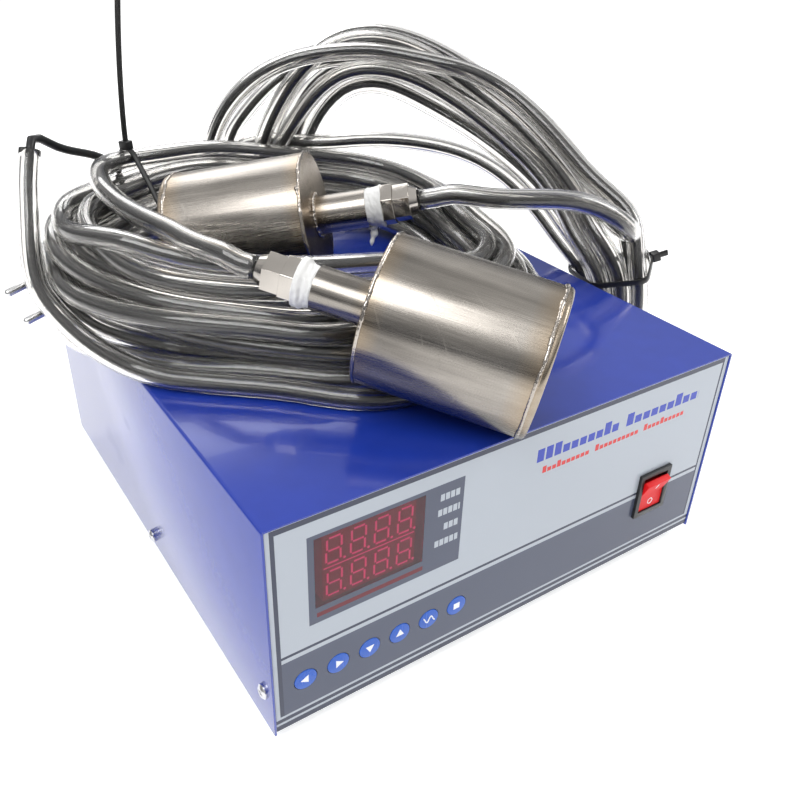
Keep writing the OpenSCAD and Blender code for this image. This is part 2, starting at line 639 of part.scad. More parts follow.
case_cover();
base_tray();
front_panel();
front_overlay();
display_window();
led_modules();
display_board();
key_left();
key_right();
key_down();
key_up();
key_wave();
key_stop();
key_switches();
switch_housing();
power_rocker();
cover_screws();
rubber_feet();
fan_frame();
fan_rotor();
fan_guard();
fan_screws();
mains_gland();
output_sockets();
fuse_holder();
fuse_cap();
main_board();
transformer();
heatsink();
board_components();
t1_can();
t1_face_plate();
t1_neck_plate();
t1_neck();
t1_thread_tape();
t1_gland_body();
t1_gland_nut();
t2_can();
t2_face_plate();
t2_neck_plate();
t2_neck();
t2_thread_tape();
t2_gland_body();
t2_gland_nut();
front_masses();
piezo_rings();
back_masses();
hose_lead_1();
hose_coil_1();
cable_tail_1();
cable_plug_1();
hose_lead_2();
hose_coil_2();
cable_tail_2();
cable_plug_2();
mains_cord();
mains_coil();
mains_plug();
plug_pins();
cable_ties();
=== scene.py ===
"""The looks of an ultrasonic generator with two submersible transducers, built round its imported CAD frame.

Lengths in millimetres are measured from the case's lower front left corner, as in the CAD source. spot() and
spots() turn them into metres in the row frame.
"""

from __future__ import annotations

import json
import logging
import math
from collections.abc import Callable, Iterator, Sequence
from contextlib import contextmanager
from dataclasses import dataclass, field
from enum import Enum

import bpy
import numpy as np
from mathutils import Matrix, Vector

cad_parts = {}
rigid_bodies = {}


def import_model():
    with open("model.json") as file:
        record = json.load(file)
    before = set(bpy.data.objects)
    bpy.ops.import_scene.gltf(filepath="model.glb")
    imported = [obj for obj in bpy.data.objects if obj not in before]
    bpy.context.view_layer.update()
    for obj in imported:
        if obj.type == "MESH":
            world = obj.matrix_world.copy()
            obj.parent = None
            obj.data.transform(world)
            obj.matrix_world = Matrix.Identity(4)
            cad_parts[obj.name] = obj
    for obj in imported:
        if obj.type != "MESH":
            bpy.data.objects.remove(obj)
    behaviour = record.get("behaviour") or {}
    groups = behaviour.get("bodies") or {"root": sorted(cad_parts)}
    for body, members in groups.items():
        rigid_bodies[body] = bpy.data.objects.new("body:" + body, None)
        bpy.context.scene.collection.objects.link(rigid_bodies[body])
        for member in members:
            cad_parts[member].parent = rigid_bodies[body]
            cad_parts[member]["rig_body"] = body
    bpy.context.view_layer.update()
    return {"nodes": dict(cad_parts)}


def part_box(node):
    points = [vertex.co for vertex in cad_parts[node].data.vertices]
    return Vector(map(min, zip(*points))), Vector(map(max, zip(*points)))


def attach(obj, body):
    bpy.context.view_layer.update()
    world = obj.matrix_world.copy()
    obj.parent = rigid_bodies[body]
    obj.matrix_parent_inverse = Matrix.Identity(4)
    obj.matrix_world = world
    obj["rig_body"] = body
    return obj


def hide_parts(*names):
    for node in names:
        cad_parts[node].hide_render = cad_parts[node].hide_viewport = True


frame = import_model()

LOG = logging.getLogger("generator")
MM = 0.001
CASE_LOW, CASE_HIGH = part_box("case_cover")
CORNER = np.array(CASE_LOW)
CASE_W, CASE_D, CASE_H = (np.array(CASE_HIGH) - CORNER) / MM
FLOOR_Z = -CORNER[2] / MM
SEED = 7
TURN = 2 * math.pi
# The cords, in millimetres, and the distance between a hose's points while it settles
HOSE_D = 12.0
HOSE_BORE = 8.4
HOSE_STEP = 10.0
CABLE_D = 5.0
MAINS_D = 7.0
# Corners closer than this are one, in metres, and an edge flatter than this goes
MERGE = 0.00002
FLAT = math.radians(1.0)
# A digit's bar in front of its modules' face and behind it, in metres
STRIP = (-0.0003, 0.0002)

Array = np.ndarray
Triple = tuple[float, float, float]
Colour = Triple
Material = bpy.types.Material
Node = bpy.types.Node
NodeTree = bpy.types.NodeTree
Piece = bpy.types.Object
Points = Sequence[Sequence[float]]
Random = np.random.Generator
Slots = tuple[tuple[float, float], ...]
Socket = bpy.types.NodeSocket


def spot(x: float, y: float, z: float) -> Vector:
    """A point in the row frame, in metres, from the case's millimetres."""
    return Vector(CORNER + np.array([x, y, z]) * MM)


def spots(points: Array) -> Array:
    """Rows of points in the row frame, in metres, from the case's millimetres."""
    return CORNER + np.asarray(points, float) * MM


def unit(v: Sequence[float]) -> Array:
    """The direction of v, one long."""
    a = np.asarray(v, float)
    return a / np.linalg.norm(a)


def eased(t: Array) -> Array:
    """A share from 0 to 1 that starts and ends gently."""
    return t * t * (3 - 2 * t)


def turned_to(axis: Sequence[float]) -> Matrix:
    """The turn that lays Z along an axis."""
    return Vector(axis).to_track_quat("Z", "Y").to_matrix().to_4x4()


# ---- Lines and meshes ----


def smooth_line(points: Points, steps: int, closed: bool = False) -> Array:
    """A smooth line through points.

    Args:
        points: The points it passes through.
        steps: How many pieces each stretch is cut into.
        closed: Whether it returns to its first point.

    Returns:
        The line's points, in rows.
    """
    P = np.array(points, float)
    count = len(P)
    out = []
    for i in range(count if closed else count - 1):
        a, b, c, d = (P[(i + k) % count] if closed else P[min(max(i + k, 0), count - 1)]
                      for k in (-1, 0, 1, 2))
        for k in range(steps):
            t = k / steps
            out.append(0.5 * (2 * b + (c - a) * t + (2 * a - 5 * b + 4 * c - d) * t**2
                              + (3 * b - a - 3 * c + d) * t**3))
    if not closed:
        out.append(P[-1])
    return np.array(out)


def spaced(line: Array, step: float) -> Array:
    """The same line with its points about step apart.

    Args:
        line: The line's points, in rows.
        step: The distance wanted.

    Returns:
        The new points.
    """
    reach = np.r_[0, np.cumsum(np.linalg.norm(np.diff(line, axis=0), axis=1))]
    s = np.linspace(0, reach[-1], max(int(round(reach[-1] / step)), 2) + 1)
    return np.stack([np.interp(s, reach, line[:, k]) for k in range(3)], 1)


def measure(line: Array) -> float:
    """The length of a line, in its own units."""
    return float(np.linalg.norm(np.diff(line, axis=0), axis=1).sum())


def wander(rng: Random, count: int, cell: float, size: float) -> Array:
    """A slow random drift.

    Args:
        rng: The seeded generator it draws from.
        count: How many values to return.
        cell: Values between two random knots.
        size: The drift's usual size.

    Returns:
        count values.
    """
    knots = rng.normal(0, 1, max(int(count / cell) + 3, 4))
    x = np.linspace(0, len(knots) - 1.001, count)
    i = x.astype(int)
    t = eased(x - i)
    return size * (knots[i] * (1 - t) + knots[i + 1] * t)


def carried_sides(line: Array) -> tuple[Array, Array]:
    """Two side directions at each point of a line, carried along it without twist.

    Args:
        line: The line's points, in rows.

    Returns:
        The two directions, in rows.
    """
    along = np.gradient(line, axis=0)
    along /= np.linalg.norm(along, axis=1)[:, None]
    last = np.cross(along[0], [1, 0, 0] if abs(along[0][2]) > 0.9 else [0, 0, 1])
    u = np.zeros_like(line)
    for i, t in enumerate(along):
        last = unit(last - (last @ t) * t)
        u[i] = last
    return u, np.cross(along, u)


def placed(name: str, data: object) -> Piece:
    """A new object in the scene that holds the data.

    Args:
        name: The object's name.
        data: Its mesh, lamp or camera.

    Returns:
        The object.
    """
    obj = bpy.data.objects.new(name, data)
    bpy.context.scene.collection.objects.link(obj)
    return obj


def wall(rings: int, sides: int, first: int = 0, inward: bool = False) -> list[tuple[int, ...]]:
    """The faces between rings of points, whose numbers start at first.

    Args:
        rings: How many rings there are.
        sides: How many points a ring has.
        first: The first point's number.
        inward: Whether the faces look inwards.

    Returns:
        The faces, as point numbers.
    """
    faces = []
    for i in range(rings - 1):
        for k in range(sides):
            a, b = first + i * sides + k, first + i * sides + (k + 1) % sides
            face = (a, b, b + sides, a + sides)
            faces.append(face[::-1] if inward else face)
    return faces


def tube_mesh(name: str, line: Array, radius: float | Array, sides: int, bore: float = 0.0) -> Piece:
    """A round tube swept along a line.

    Args:
        name: The new object's name.
        line: Its centreline, in metres.
        radius: Its outer radius, one number or one for each point and side.
        sides: How many sides it has round.
        bore: The radius of the bore, or 0 for a solid tube.

    Returns:
        The tube, with its place in its mesh.
    """
    u, v = carried_sides(line)
    turn = np.linspace(0, TURN, sides, endpoint=False)
    count = len(line)
    out = np.cos(turn)[None, :, None] * u[:, None] + np.sin(turn)[None, :, None] * v[:, None]
    walls = []
    for size in ((radius, bore) if bore else (radius,)):
        reach = np.broadcast_to(np.asarray(size, float), (count, sides))[..., None]
        walls.append((line[:, None] + reach * out).reshape(-1, 3))
    faces = wall(count, sides)
    far, inner = (count - 1) * sides, count * sides
    if bore:
        faces += wall(count, sides, inner, True)
        for k in range(sides):
            n = (k + 1) % sides
            faces.append((k, inner + k, inner + n, n))
            faces.append((far + k, far + n, inner + far + n, inner + far + k))
    else:
        faces += [tuple(reversed(range(sides))), tuple(range(far, far + sides))]
    mesh = bpy.data.meshes.new(name)
    mesh.from_pydata(np.vstack(walls).tolist(), [], faces)
    mesh.polygons.foreach_set("use_smooth", [len(p.vertices) == 4 for p in mesh.polygons])
    return placed(name, mesh)


# ---- Node graphs and shared effects ----


def rgba(value: object) -> object:
    """A colour with its alpha, or the socket as it is."""
    return value if isinstance(value, Socket) else (*value, 1.0)


class Graph:
    """Builds a node tree, one node a call."""

    def __init__(self, tree: NodeTree) -> None:
        """Keeps the tree that nodes are added to."""
        self.tree = tree

    def add(self, kind: str, inputs: dict | None = None, **settings: object) -> Node:
        """Adds a node.

        Args:
            kind: The node's type, without its first word ShaderNode.
            inputs: Values or sockets for its inputs, by name or number.
            **settings: The node's own properties.

        Returns:
            The node.
        """
        node = self.tree.nodes.new(kind if kind.startswith("NodeGroup") else f"ShaderNode{kind}")
        for key, value in settings.items():
            setattr(node, key, value)
        for key, value in (inputs or {}).items():
            if isinstance(value, Socket):
                self.tree.links.new(value, node.inputs[key])
            else:
                node.inputs[key].default_value = value
        return node

    def math(self, operation: str, a: object, b: object = 0.0) -> Socket:
        """The result of one Math node."""
        return self.add("Math", {0: a, 1: b}, operation=operation).outputs[0]

    def mix(self, share: object, a: object, b: object) -> Socket:
        """Colour a with share of colour b over it."""
        return self.add("Mix", {0: share, 6: rgba(a), 7: rgba(b)}, data_type="RGBA").outputs[2]

    def between(self, value: Socket, low: float, high: float, out_low: float = 0.0,
                out_high: float = 1.0) -> Socket:
        """value mapped from low and high to out_low and out_high, and held there."""
        return self.add("MapRange", {0: value, 1: low, 2: high, 3: out_low, 4: out_high}).outputs[0]

    def noise(self, vector: Socket, scale: object, detail: float = 3.0) -> Socket:
        """A noise value."""
        return self.add("TexNoise", {"Vector": vector, "Scale": scale, "Detail": detail}).outputs[0]

    def scaled(self, vector: Socket, scale: Triple, turn: Triple = (0.0, 0.0, 0.0)) -> Socket:
        """Coordinates stretched and turned."""
        return self.add("Mapping", {"Vector": vector, "Rotation": turn, "Scale": scale}).outputs[0]

    def place(self) -> Socket:
        """The piece's own coordinates, in metres in the row frame."""
        return self.add("TexCoord").outputs["Object"]

    def use(self, group: NodeTree, inputs: dict) -> bpy.types.bpy_prop_collection:
        """The outputs of a shared effect placed here."""
        return self.add("Group", inputs, node_tree=group).outputs


class Effect(Enum):
    """The effects that several materials share."""

    GRAIN = "surface_grain"
    DUST = "handling_marks"
    PRINT = "printed_area"
    STREAKS = "drawn_streaks"


class Effects:
    """Makes each shared effect once, and hands it out by name."""

    def __init__(self) -> None:
        """Starts with nothing built."""
        self.built: dict[Effect, NodeTree] = {}

    def get(self, effect: Effect) -> NodeTree:
        """The node group of an effect, built when it is first asked for.

        Args:
            effect: The effect wanted.

        Returns:
            Its node group.
        """
        if effect not in self.built:
            makers: dict[Effect, Callable[[], NodeTree]] = {
                Effect.GRAIN: self.grain, Effect.DUST: self.dust,
                Effect.PRINT: self.printed, Effect.STREAKS: self.streaks}
            self.built[effect] = makers[effect]()
        return self.built[effect]

    @staticmethod
    def start(effect: Effect, inputs: dict[str, str], outputs: list[str]) -> tuple[Graph, list[Socket]]:
        """An empty group with named sockets.

        Args:
            effect: The effect that the group makes.
            inputs: Socket types by name.
            outputs: Names of the values that it puts out.

        Returns:
            The graph to build in, and the group's inputs.
        """
        tree = bpy.data.node_groups.new(effect.value, "ShaderNodeTree")
        for key, kind in inputs.items():
            tree.interface.new_socket(key, in_out="INPUT", socket_type=f"NodeSocket{kind}")
        for key in outputs:
            tree.interface.new_socket(key, in_out="OUTPUT", socket_type="NodeSocketFloat")
        graph = Graph(tree)
        return graph, list(graph.add("NodeGroupInput").outputs)[:len(inputs)]

    def grain(self) -> NodeTree:
        """Fine moulded or sprayed grain: a height, and a slow unevenness."""
        g, (vector, size) = self.start(Effect.GRAIN, {"Vector": "Vector", "Size": "Float"},
                                       ["Height", "Uneven"])
        scale = g.math("DIVIDE", 1.0, size)
        g.add("NodeGroupOutput", {"Height": g.noise(vector, scale, 2.0),
                                  "Uneven": g.noise(vector, g.math("MULTIPLY", scale, 0.04))})
        return g.tree

    def dust(self) -> NodeTree:
        """Faint marks of handling: soft patches with sparse short scratches in them."""
        g, (vector,) = self.start(Effect.DUST, {"Vector": "Vector"}, ["Mask"])
        patches = g.between(g.noise(vector, 22.0, 5.0), 0.5, 0.75)
        turned = g.scaled(vector, (900.0, 30.0, 60.0), (0.3, 0.7, 0.5))
        lines = g.between(g.noise(turned, 1.0, 1.0), 0.68, 0.74)
        g.add("NodeGroupOutput", {"Mask": g.math("MAXIMUM", g.math("MULTIPLY", patches, 0.5), lines)})
        return g.tree

    def printed(self) -> NodeTree:
        """One printed area: a box between four edges, or a row of blocks where it has a pitch."""
        names = ["X", "Z", "Left", "Right", "Low", "High", "Pitch"]
        g, given = self.start(Effect.PRINT, dict.fromkeys(names, "Float"), ["Mask"])
        x, z, left, right, low, high, pitch = given
        phase = g.math("FRACT", g.math("DIVIDE", g.math("SUBTRACT", x, left), pitch))
        mask = g.math("LESS_THAN", phase, 0.8)
        for test, value, edge in (("GREATER_THAN", x, left), ("LESS_THAN", x, right),
                                  ("GREATER_THAN", z, low), ("LESS_THAN", z, high)):
            mask = g.math("MULTIPLY", mask, g.math(test, value, edge))
        g.add("NodeGroupOutput", {"Mask": mask})
        return g.tree

    def streaks(self) -> NodeTree:
        """Long soft bands, which are partly brushing tone and partly painted reflection streaks, and fine
        brushing lines, along Z of the given vector.
        """
        g, (vector,) = self.start(Effect.STREAKS, {"Vector": "Vector"}, ["BrushAndSheenBands", "Lines"])
        g.add("NodeGroupOutput", {"BrushAndSheenBands": g.noise(g.scaled(vector, (60.0, 60.0, 7.0)), 1.0, 4.0),
                                  "Lines": g.noise(g.scaled(vector, (2600.0, 2600.0, 60.0)), 1.0, 2.0)})
        return g.tree


EFFECTS = Effects()


# ---- Finishes ----


@dataclass(frozen=True)
class Finish:
    """A surface of one colour with its own grain, unevenness and marks.

    Attributes:
        name: The material's name.
        colour: Its base colour, linear.
        rough: Its roughness where it is clean.
        metal: 1 for bare metal.
        grain: Size of its grain, in metres.
        depth: How deep the grain is, in metres.
        uneven: How far the colour drifts.
        marks: How much handling marks raise the roughness.
        coat: Weight of a clear coat.
        ior: Its index of refraction.
    """

    name: str
    colour: Colour
    rough: float = 0.4
    metal: float = 0.0
    grain: float = 0.0008
    depth: float = 0.00003
    uneven: float = 0.12
    marks: float = 0.12
    coat: float = 0.0
    ior: float = 1.5

    def build(self) -> Material:
        """Makes the material."""
        material = bpy.data.materials.new(self.name)
        material.use_nodes = True
        material.node_tree.nodes.clear()
        g = Graph(material.node_tree)
        place = g.place()
        grain = g.use(EFFECTS.get(Effect.GRAIN), {"Vector": place, "Size": self.grain})
        marks = g.use(EFFECTS.get(Effect.DUST), {"Vector": place})["Mask"]
        low, high = (tuple(min(c * share, 1.0) for c in self.colour)
                     for share in (1 - self.uneven, 1 + self.uneven))
        shade = self.colour_over(g, place, g.mix(g.between(grain["Uneven"], 0.3, 0.7), low, high))
        rough = self.rough_over(g, place, g.between(marks, 0.0, 1.0, self.rough, self.rough + self.marks))
        bump = g.add("Bump", {"Height": grain["Height"], "Strength": 1.0, "Distance": self.depth})
        shader = g.add("BsdfPrincipled", {
            "Base Color": shade, "Roughness": rough, "Metallic": self.metal, "IOR": self.ior,
            "Coat Weight": self.coat, "Coat Roughness": 0.05, "Normal": bump.outputs[0]})
        self.dress(shader)
        g.add("OutputMaterial", {0: shader.outputs[0]})
        return material

    def colour_over(self, g: Graph, place: Socket, colour: Socket) -> Socket:
        """The colour with whatever this finish lays over it."""
        return colour

    def rough_over(self, g: Graph, place: Socket, rough: Socket) -> Socket:
        """The roughness with whatever this finish adds."""
        return rough

    def dress(self, shader: Node) -> None:
        """Sets the shader's remaining sockets."""


@dataclass(frozen=True)
class ClearFinish(Finish):
    """A see-through plastic."""

    see_through: float = 1.0

    def dress(self, shader: Node) -> None:
        """Lets light through."""
        shader.inputs["Transmission Weight"].default_value = self.see_through


@dataclass(frozen=True)
class GlowFinish(Finish):
    """A surface that gives off a faint light of its own: an evenly bright floor, or a painted glow on a part
    that is no lamp.
    """

    glow: float = 0.3

    def dress(self, shader: Node) -> None:
        """Sets the glow."""
        shader.inputs["Emission Color"].default_value = (*self.colour, 1.0)
        shader.inputs["Emission Strength"].default_value = self.glow


@dataclass(frozen=True)
class SteelFinish(Finish):
    """Brushed stainless steel round an axis, tinted by heat where it is welded.

    Attributes:
        at: The piece's origin in the row frame.
        axis: The direction that its streaks follow.
        welds: Distances along the axis of the welds, in metres.
    """

    at: Triple = (0.0, 0.0, 0.0)
    axis: Triple = (0.0, 0.0, 1.0)
    welds: tuple[float, ...] = ()

    def turned(self, g: Graph, place: Socket) -> Socket:
        """Coordinates whose Z runs along the axis."""
        turn = tuple(Vector(self.axis).to_track_quat("Z", "Y").to_euler())
        return g.add("Mapping", {"Vector": place, "Location": self.at, "Rotation": turn},
                     vector_type="TEXTURE").outputs[0]

    def colour_over(self, g: Graph, place: Socket, colour: Socket) -> Socket:
        """Soft bands, partly brushing tone and partly painted reflection streaks, and a straw tint beside the
        welds.
        """
        local = self.turned(g, place)
        bands = g.use(EFFECTS.get(Effect.STREAKS), {"Vector": local})["BrushAndSheenBands"]
        # The darker bands are partly painted reflection: streaks of reflected surroundings painted into the
        # colour.
        sheen_banded = g.mix(g.between(bands, 0.38, 0.66), colour, tuple(c * 0.42 for c in self.colour))
        depth = g.add("SeparateXYZ", {0: local}).outputs[2]
        for weld in self.welds:
            near = g.between(g.math("ABSOLUTE", g.math("SUBTRACT", depth, weld)), 0.001, 0.011, 0.55, 0.0)
            sheen_banded = g.mix(near, sheen_banded, (0.36, 0.27, 0.17))
        return sheen_banded

    def rough_over(self, g: Graph, place: Socket, rough: Socket) -> Socket:
        """Fine lines from brushing."""
        lines = g.use(EFFECTS.get(Effect.STREAKS), {"Vector": self.turned(g, place)})["Lines"]
        return g.math("ADD", rough, g.between(lines, 0.3, 0.7, -0.05, 0.1))

    def dress(self, shader: Node) -> None:
        """Stretches the highlights a little."""
        shader.inputs["Anisotropic"].default_value = 0.35


@dataclass(frozen=True)
class PrintedArea:
    """One printed area: its edges in the case's millimetres, its colour, and the pitch of its blocks."""

    left: float
    right: float
    low: float
    high: float
    colour: Colour
    pitch: float = 1000.0


INK_DARK: Colour = (0.035, 0.042, 0.075)
INK_BAND: Colour = (0.070, 0.082, 0.128)
INK_PALE: Colour = (0.43, 0.47, 0.525)
INK_BLUE: Colour = (0.018, 0.045, 0.42)
INK_RED: Colour = (0.62, 0.02, 0.02)
INK_WINE: Colour = (0.13, 0.004, 0.012)


@dataclass(frozen=True)
class FilmFinish(Finish):
    """The printed film on the front, with its areas from the lowest to the top one."""

    areas: tuple[PrintedArea, ...] = ()

    def colour_over(self, g: Graph, place: Socket, colour: Socket) -> Socket:
        """The inks, one over the other."""
        x, _, z = g.add("SeparateXYZ", {0: place}).outputs
        for area in self.areas:
            low, high = spot(area.left, 0, area.low), spot(area.right, 0, area.high)
            mask = g.use(EFFECTS.get(Effect.PRINT), {
                "X": x, "Z": z, "Left": low.x, "Right": high.x, "Low": low.z, "High": high.z,
                "Pitch": area.pitch * MM})["Mask"]
            colour = g.mix(mask, colour, area.colour)
        return colour


class Paint:
    """Keeps each finish's material, so that it is built once."""

    def __init__(self) -> None:
        """Starts with no materials."""
        self.built: dict[str, Material] = {}

    def on(self, obj: Piece, finish: Finish) -> Piece:
        """Gives a piece its finish.

        Args:
            obj: The piece.
            finish: What it is finished with.

        Returns:
            The piece.
        """
        if finish.name not in self.built:
            self.built[finish.name] = finish.build()
        obj.data.materials.clear()
        obj.data.materials.append(self.built[finish.name])
        return obj

    def cad(self, node: str, finish: Finish) -> None:
        """Gives a CAD node its finish."""
        self.on(frame["nodes"][node], finish)

    def root(self, obj: Piece, finish: Finish, slot: str, *nodes: str) -> Piece:
        """Finishes a new piece that stays with the case, and hides the CAD nodes that it stands for.

        Args:
            obj: The piece.
            finish: What it is finished with.
            slot: The record's slot for its finish. It is not used.
            *nodes: The CAD nodes that it stands for.

        Returns:
            The piece.
        """
        if nodes:
            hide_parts(*nodes)
        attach(obj, "root")
        return self.on(obj, finish)


PAINT = Paint()
POWDER_COAT = Finish("blue_powder_coat", (0.012, 0.038, 0.33), rough=0.2, grain=0.0006, depth=0.00002,
                     uneven=0.05, marks=0.05, coat=0.35)
ZINC = Finish("zinc_sheet", (0.62, 0.64, 0.66), rough=0.34, metal=1.0, grain=0.004, depth=0.00001)
BLACK_PLASTIC = Finish("black_plastic", (0.012, 0.012, 0.013), rough=0.32)
FAN_PLASTIC = Finish("fan_plastic", (0.018, 0.018, 0.019), rough=0.5, grain=0.0005)
RUBBER = Finish("foot_rubber", (0.02, 0.02, 0.02), rough=0.75, grain=0.0006, depth=0.00006)
KEY_BLUE = Finish("key_blue", (0.014, 0.10, 0.50), rough=0.25, uneven=0.05)
KEY_WHITE = Finish("key_white", (0.85, 0.87, 0.9), rough=0.4, uneven=0.02)
ROCKER_RED = Finish("rocker_red", (0.75, 0.005, 0.008), rough=0.42, uneven=0.06, ior=1.35)
SCREW_STEEL = Finish("screw_steel", (0.68, 0.68, 0.68), rough=0.22, metal=1.0, grain=0.002)
NICKEL = Finish("nickel", (0.46, 0.43, 0.395), rough=0.13, metal=1.0, grain=0.0015, depth=0.00002, uneven=0.2)
TAPE = Finish("thread_tape", (0.78, 0.78, 0.77), rough=0.55, grain=0.0012, depth=0.0002, uneven=0.05)
CABLE = Finish("cable_jacket", (0.008, 0.008, 0.009), rough=0.3, grain=0.0005, uneven=0.1)
NYLON = Finish("tie_nylon", (0.008, 0.008, 0.008), rough=0.35)
BOARD = Finish("circuit_board", (0.02, 0.16, 0.06), rough=0.35, grain=0.002, uneven=0.25)
VARNISH = Finish("iron_core", (0.10, 0.085, 0.07), rough=0.45, grain=0.0015, depth=0.0001, uneven=0.3)
ALUMINIUM = Finish("bare_aluminium", (0.72, 0.73, 0.75), rough=0.3, metal=1.0)
SLEEVE = Finish("component_sleeve", (0.02, 0.03, 0.12), rough=0.3, uneven=0.3)
CERAMIC = Finish("ceramic", (0.22, 0.19, 0.15))
MASS_STEEL = Finish("mass_steel", (0.45, 0.45, 0.47), rough=0.28, metal=1.0, grain=0.0006)
BEAD = Finish("weld_bead", (0.44, 0.40, 0.36), rough=0.2, metal=1.0, grain=0.0012, depth=0.0002, uneven=0.35)
CLEAR_HOSE = ClearFinish("clear_hose", (0.95, 0.94, 0.92), rough=0.03, grain=0.012, depth=0.00006,
                         uneven=0.01, marks=0.03, ior=1.40, see_through=0.985)
RED_ACRYLIC = ClearFinish("red_window", (0.52, 0.006, 0.09), rough=0.04, uneven=0.02, marks=0.02, ior=1.49)
# The LED modules and their bars are unlit; the glow of these two finishes is painted light.
LED_BODY = GlowFinish("led_body_painted_glow", (0.25, 0.015, 0.08), glow=0.15)
LED_SEGMENT = GlowFinish("led_segment_painted_glow", (0.8, 0.3, 0.5), glow=0.35, uneven=0.02)
PLAIN = GlowFinish("studio_floor", (0.86, 0.86, 0.86), rough=0.7, uneven=0.01, marks=0.02, depth=0.0,
                   glow=0.5)


# ---- The bench: how pieces are made ----


class Bench:
    """Models pieces with Blender's own operators."""

    @staticmethod
    def clear() -> None:
        """Deselects everything."""
        bpy.ops.object.select_all(action="DESELECT")

    @staticmethod
    def hold(obj: Piece) -> None:
        """Makes obj the only selected and the active object."""
        Bench.clear()
        obj.select_set(True)
        bpy.context.view_layer.objects.active = obj

    @staticmethod
    @contextmanager
    def editing(obj: Piece) -> Iterator[None]:
        """Edit mode on a piece, for as long as the block runs."""
        Bench.hold(obj)
        bpy.ops.object.mode_set(mode="EDIT")
        yield
        bpy.ops.object.mode_set(mode="OBJECT")

    @staticmethod
    def start(shape: str, name: str, **sizes: object) -> Piece:
        """A primitive to shape, and nothing else selected.

        Args:
            shape: The primitive's kind.
            name: The piece's name.
            **sizes: What the primitive is added with.

        Returns:
            The new piece.
        """
        Bench.clear()
        getattr(bpy.ops.mesh, f"primitive_{shape}_add")(**sizes)
        bpy.context.object.name = name
        return bpy.context.object

    @staticmethod
    def settle(obj: Piece) -> Piece:
        """Moves a piece's place, turn and scale into its mesh."""
        Bench.hold(obj)
        bpy.ops.object.transform_apply(location=True, rotation=True, scale=True)
        return obj

    @staticmethod
    def modify(obj: Piece, kind: str, **settings: object) -> None:
        """Adds a modifier with those settings, and applies it.

        Args:
            obj: The piece.
            kind: The modifier's type.
            **settings: Its properties.
        """
        Bench.hold(obj)
        bpy.ops.object.modifier_add(type=kind)
        modifier = obj.modifiers[-1]
        for key, value in settings.items():
            setattr(modifier, key, value)
        bpy.ops.object.modifier_apply(modifier=modifier.name)

    @staticmethod
    def bevel(obj: Piece, width: float, segments: int = 2, angle: float = 30.0) -> Piece:
        """Rounds a piece's sharp edges.

        Args:
            obj: The piece.
            width: The rounding's width, in metres.
            segments: Its steps.
            angle: Edges sharper than this many degrees are rounded.

        Returns:
            The piece.
        """
        Bench.modify(obj, "BEVEL", width=width, segments=segments, limit_method="ANGLE",
                     angle_limit=math.radians(angle))
        return Bench.smooth(obj)

    @staticmethod
    def smooth(obj: Piece, angle: float = 35.0) -> Piece:
        """Smooths the shading across soft edges.

        Args:
            obj: The piece.
            angle: Edges sharper than this many degrees stay sharp.

        Returns:
            The piece.
        """
        Bench.hold(obj)
        bpy.ops.object.shade_smooth_by_angle(angle=math.radians(angle))
        return obj

    @staticmethod
    def copy(node: str, name: str, width: float, finish: Finish, slot: str, segments: int = 2) -> Piece:
        """A finished copy of a CAD node with whole faces and rounded edges, which stands for the node.

        Args:
            node: The CAD node.
            name: The copy's name.
            width: The width of the rounding, in millimetres.
            finish: What it is finished with.
            slot: The record's slot for its finish. It is not used.
            segments: The number of steps in the rounding.

        Returns:
            The copy, riding on the node's body.
        """
        source = frame["nodes"][node]
        obj = source.copy()
        obj.data = source.data.copy()
        obj.name = name
        for key in list(obj.keys()):
            del obj[key]
        obj.parent = None
        bpy.context.scene.collection.objects.link(obj)
        Bench.hold(obj)
        bpy.ops.mesh.customdata_custom_splitnormals_clear()
        with Bench.editing(obj):
            bpy.ops.mesh.select_all(action="SELECT")
            bpy.ops.mesh.remove_doubles(threshold=MERGE)
            bpy.ops.mesh.dissolve_limited(angle_limit=FLAT)
        Bench.bevel(obj, width * MM, segments)
        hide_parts(node)
        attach(obj, source["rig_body"])
        return PAINT.on(obj, finish)

    @staticmethod
    def cube(name: str, low: Vector, high: Vector) -> Piece:
        """A sharp block between two corners.

        Args:
            name: The piece's name.
            low: Its lower corner.
            high: Its upper corner.

        Returns:
            The piece.
        """
        obj = Bench.start("cube", name, size=1.0, location=(low + high) / 2)
        obj.scale = high - low
        return Bench.settle(obj)

    @staticmethod
    def disc(name: str, at: Vector, axis: Vector, radius: float, depth: float, corners: int) -> Piece:
        """A prism or disc with softened edges.

        Args:
            name: The piece's name.
            at: Its middle.
            axis: The direction it is thick in.
            radius: Its radius to the corners.
            depth: Its thickness.
            corners: How many corners it has.

        Returns:
            The piece.
        """
        obj = Bench.start("cylinder", name, vertices=corners, radius=radius, depth=depth)
        obj.matrix_world = Matrix.Translation(at) @ turned_to(axis)
        return Bench.bevel(Bench.settle(obj), depth * 0.3)

    @staticmethod
    def join(name: str, pieces: list[Piece]) -> Piece:
        """Several pieces as one object.

        Args:
            name: The whole piece's name.
            pieces: Its parts.

        Returns:
            The whole piece.
        """
        Bench.hold(pieces[0])
        for piece in pieces:
            piece.select_set(True)
        bpy.ops.object.join()
        pieces[0].name = name
        return pieces[0]


# ---- Case ----


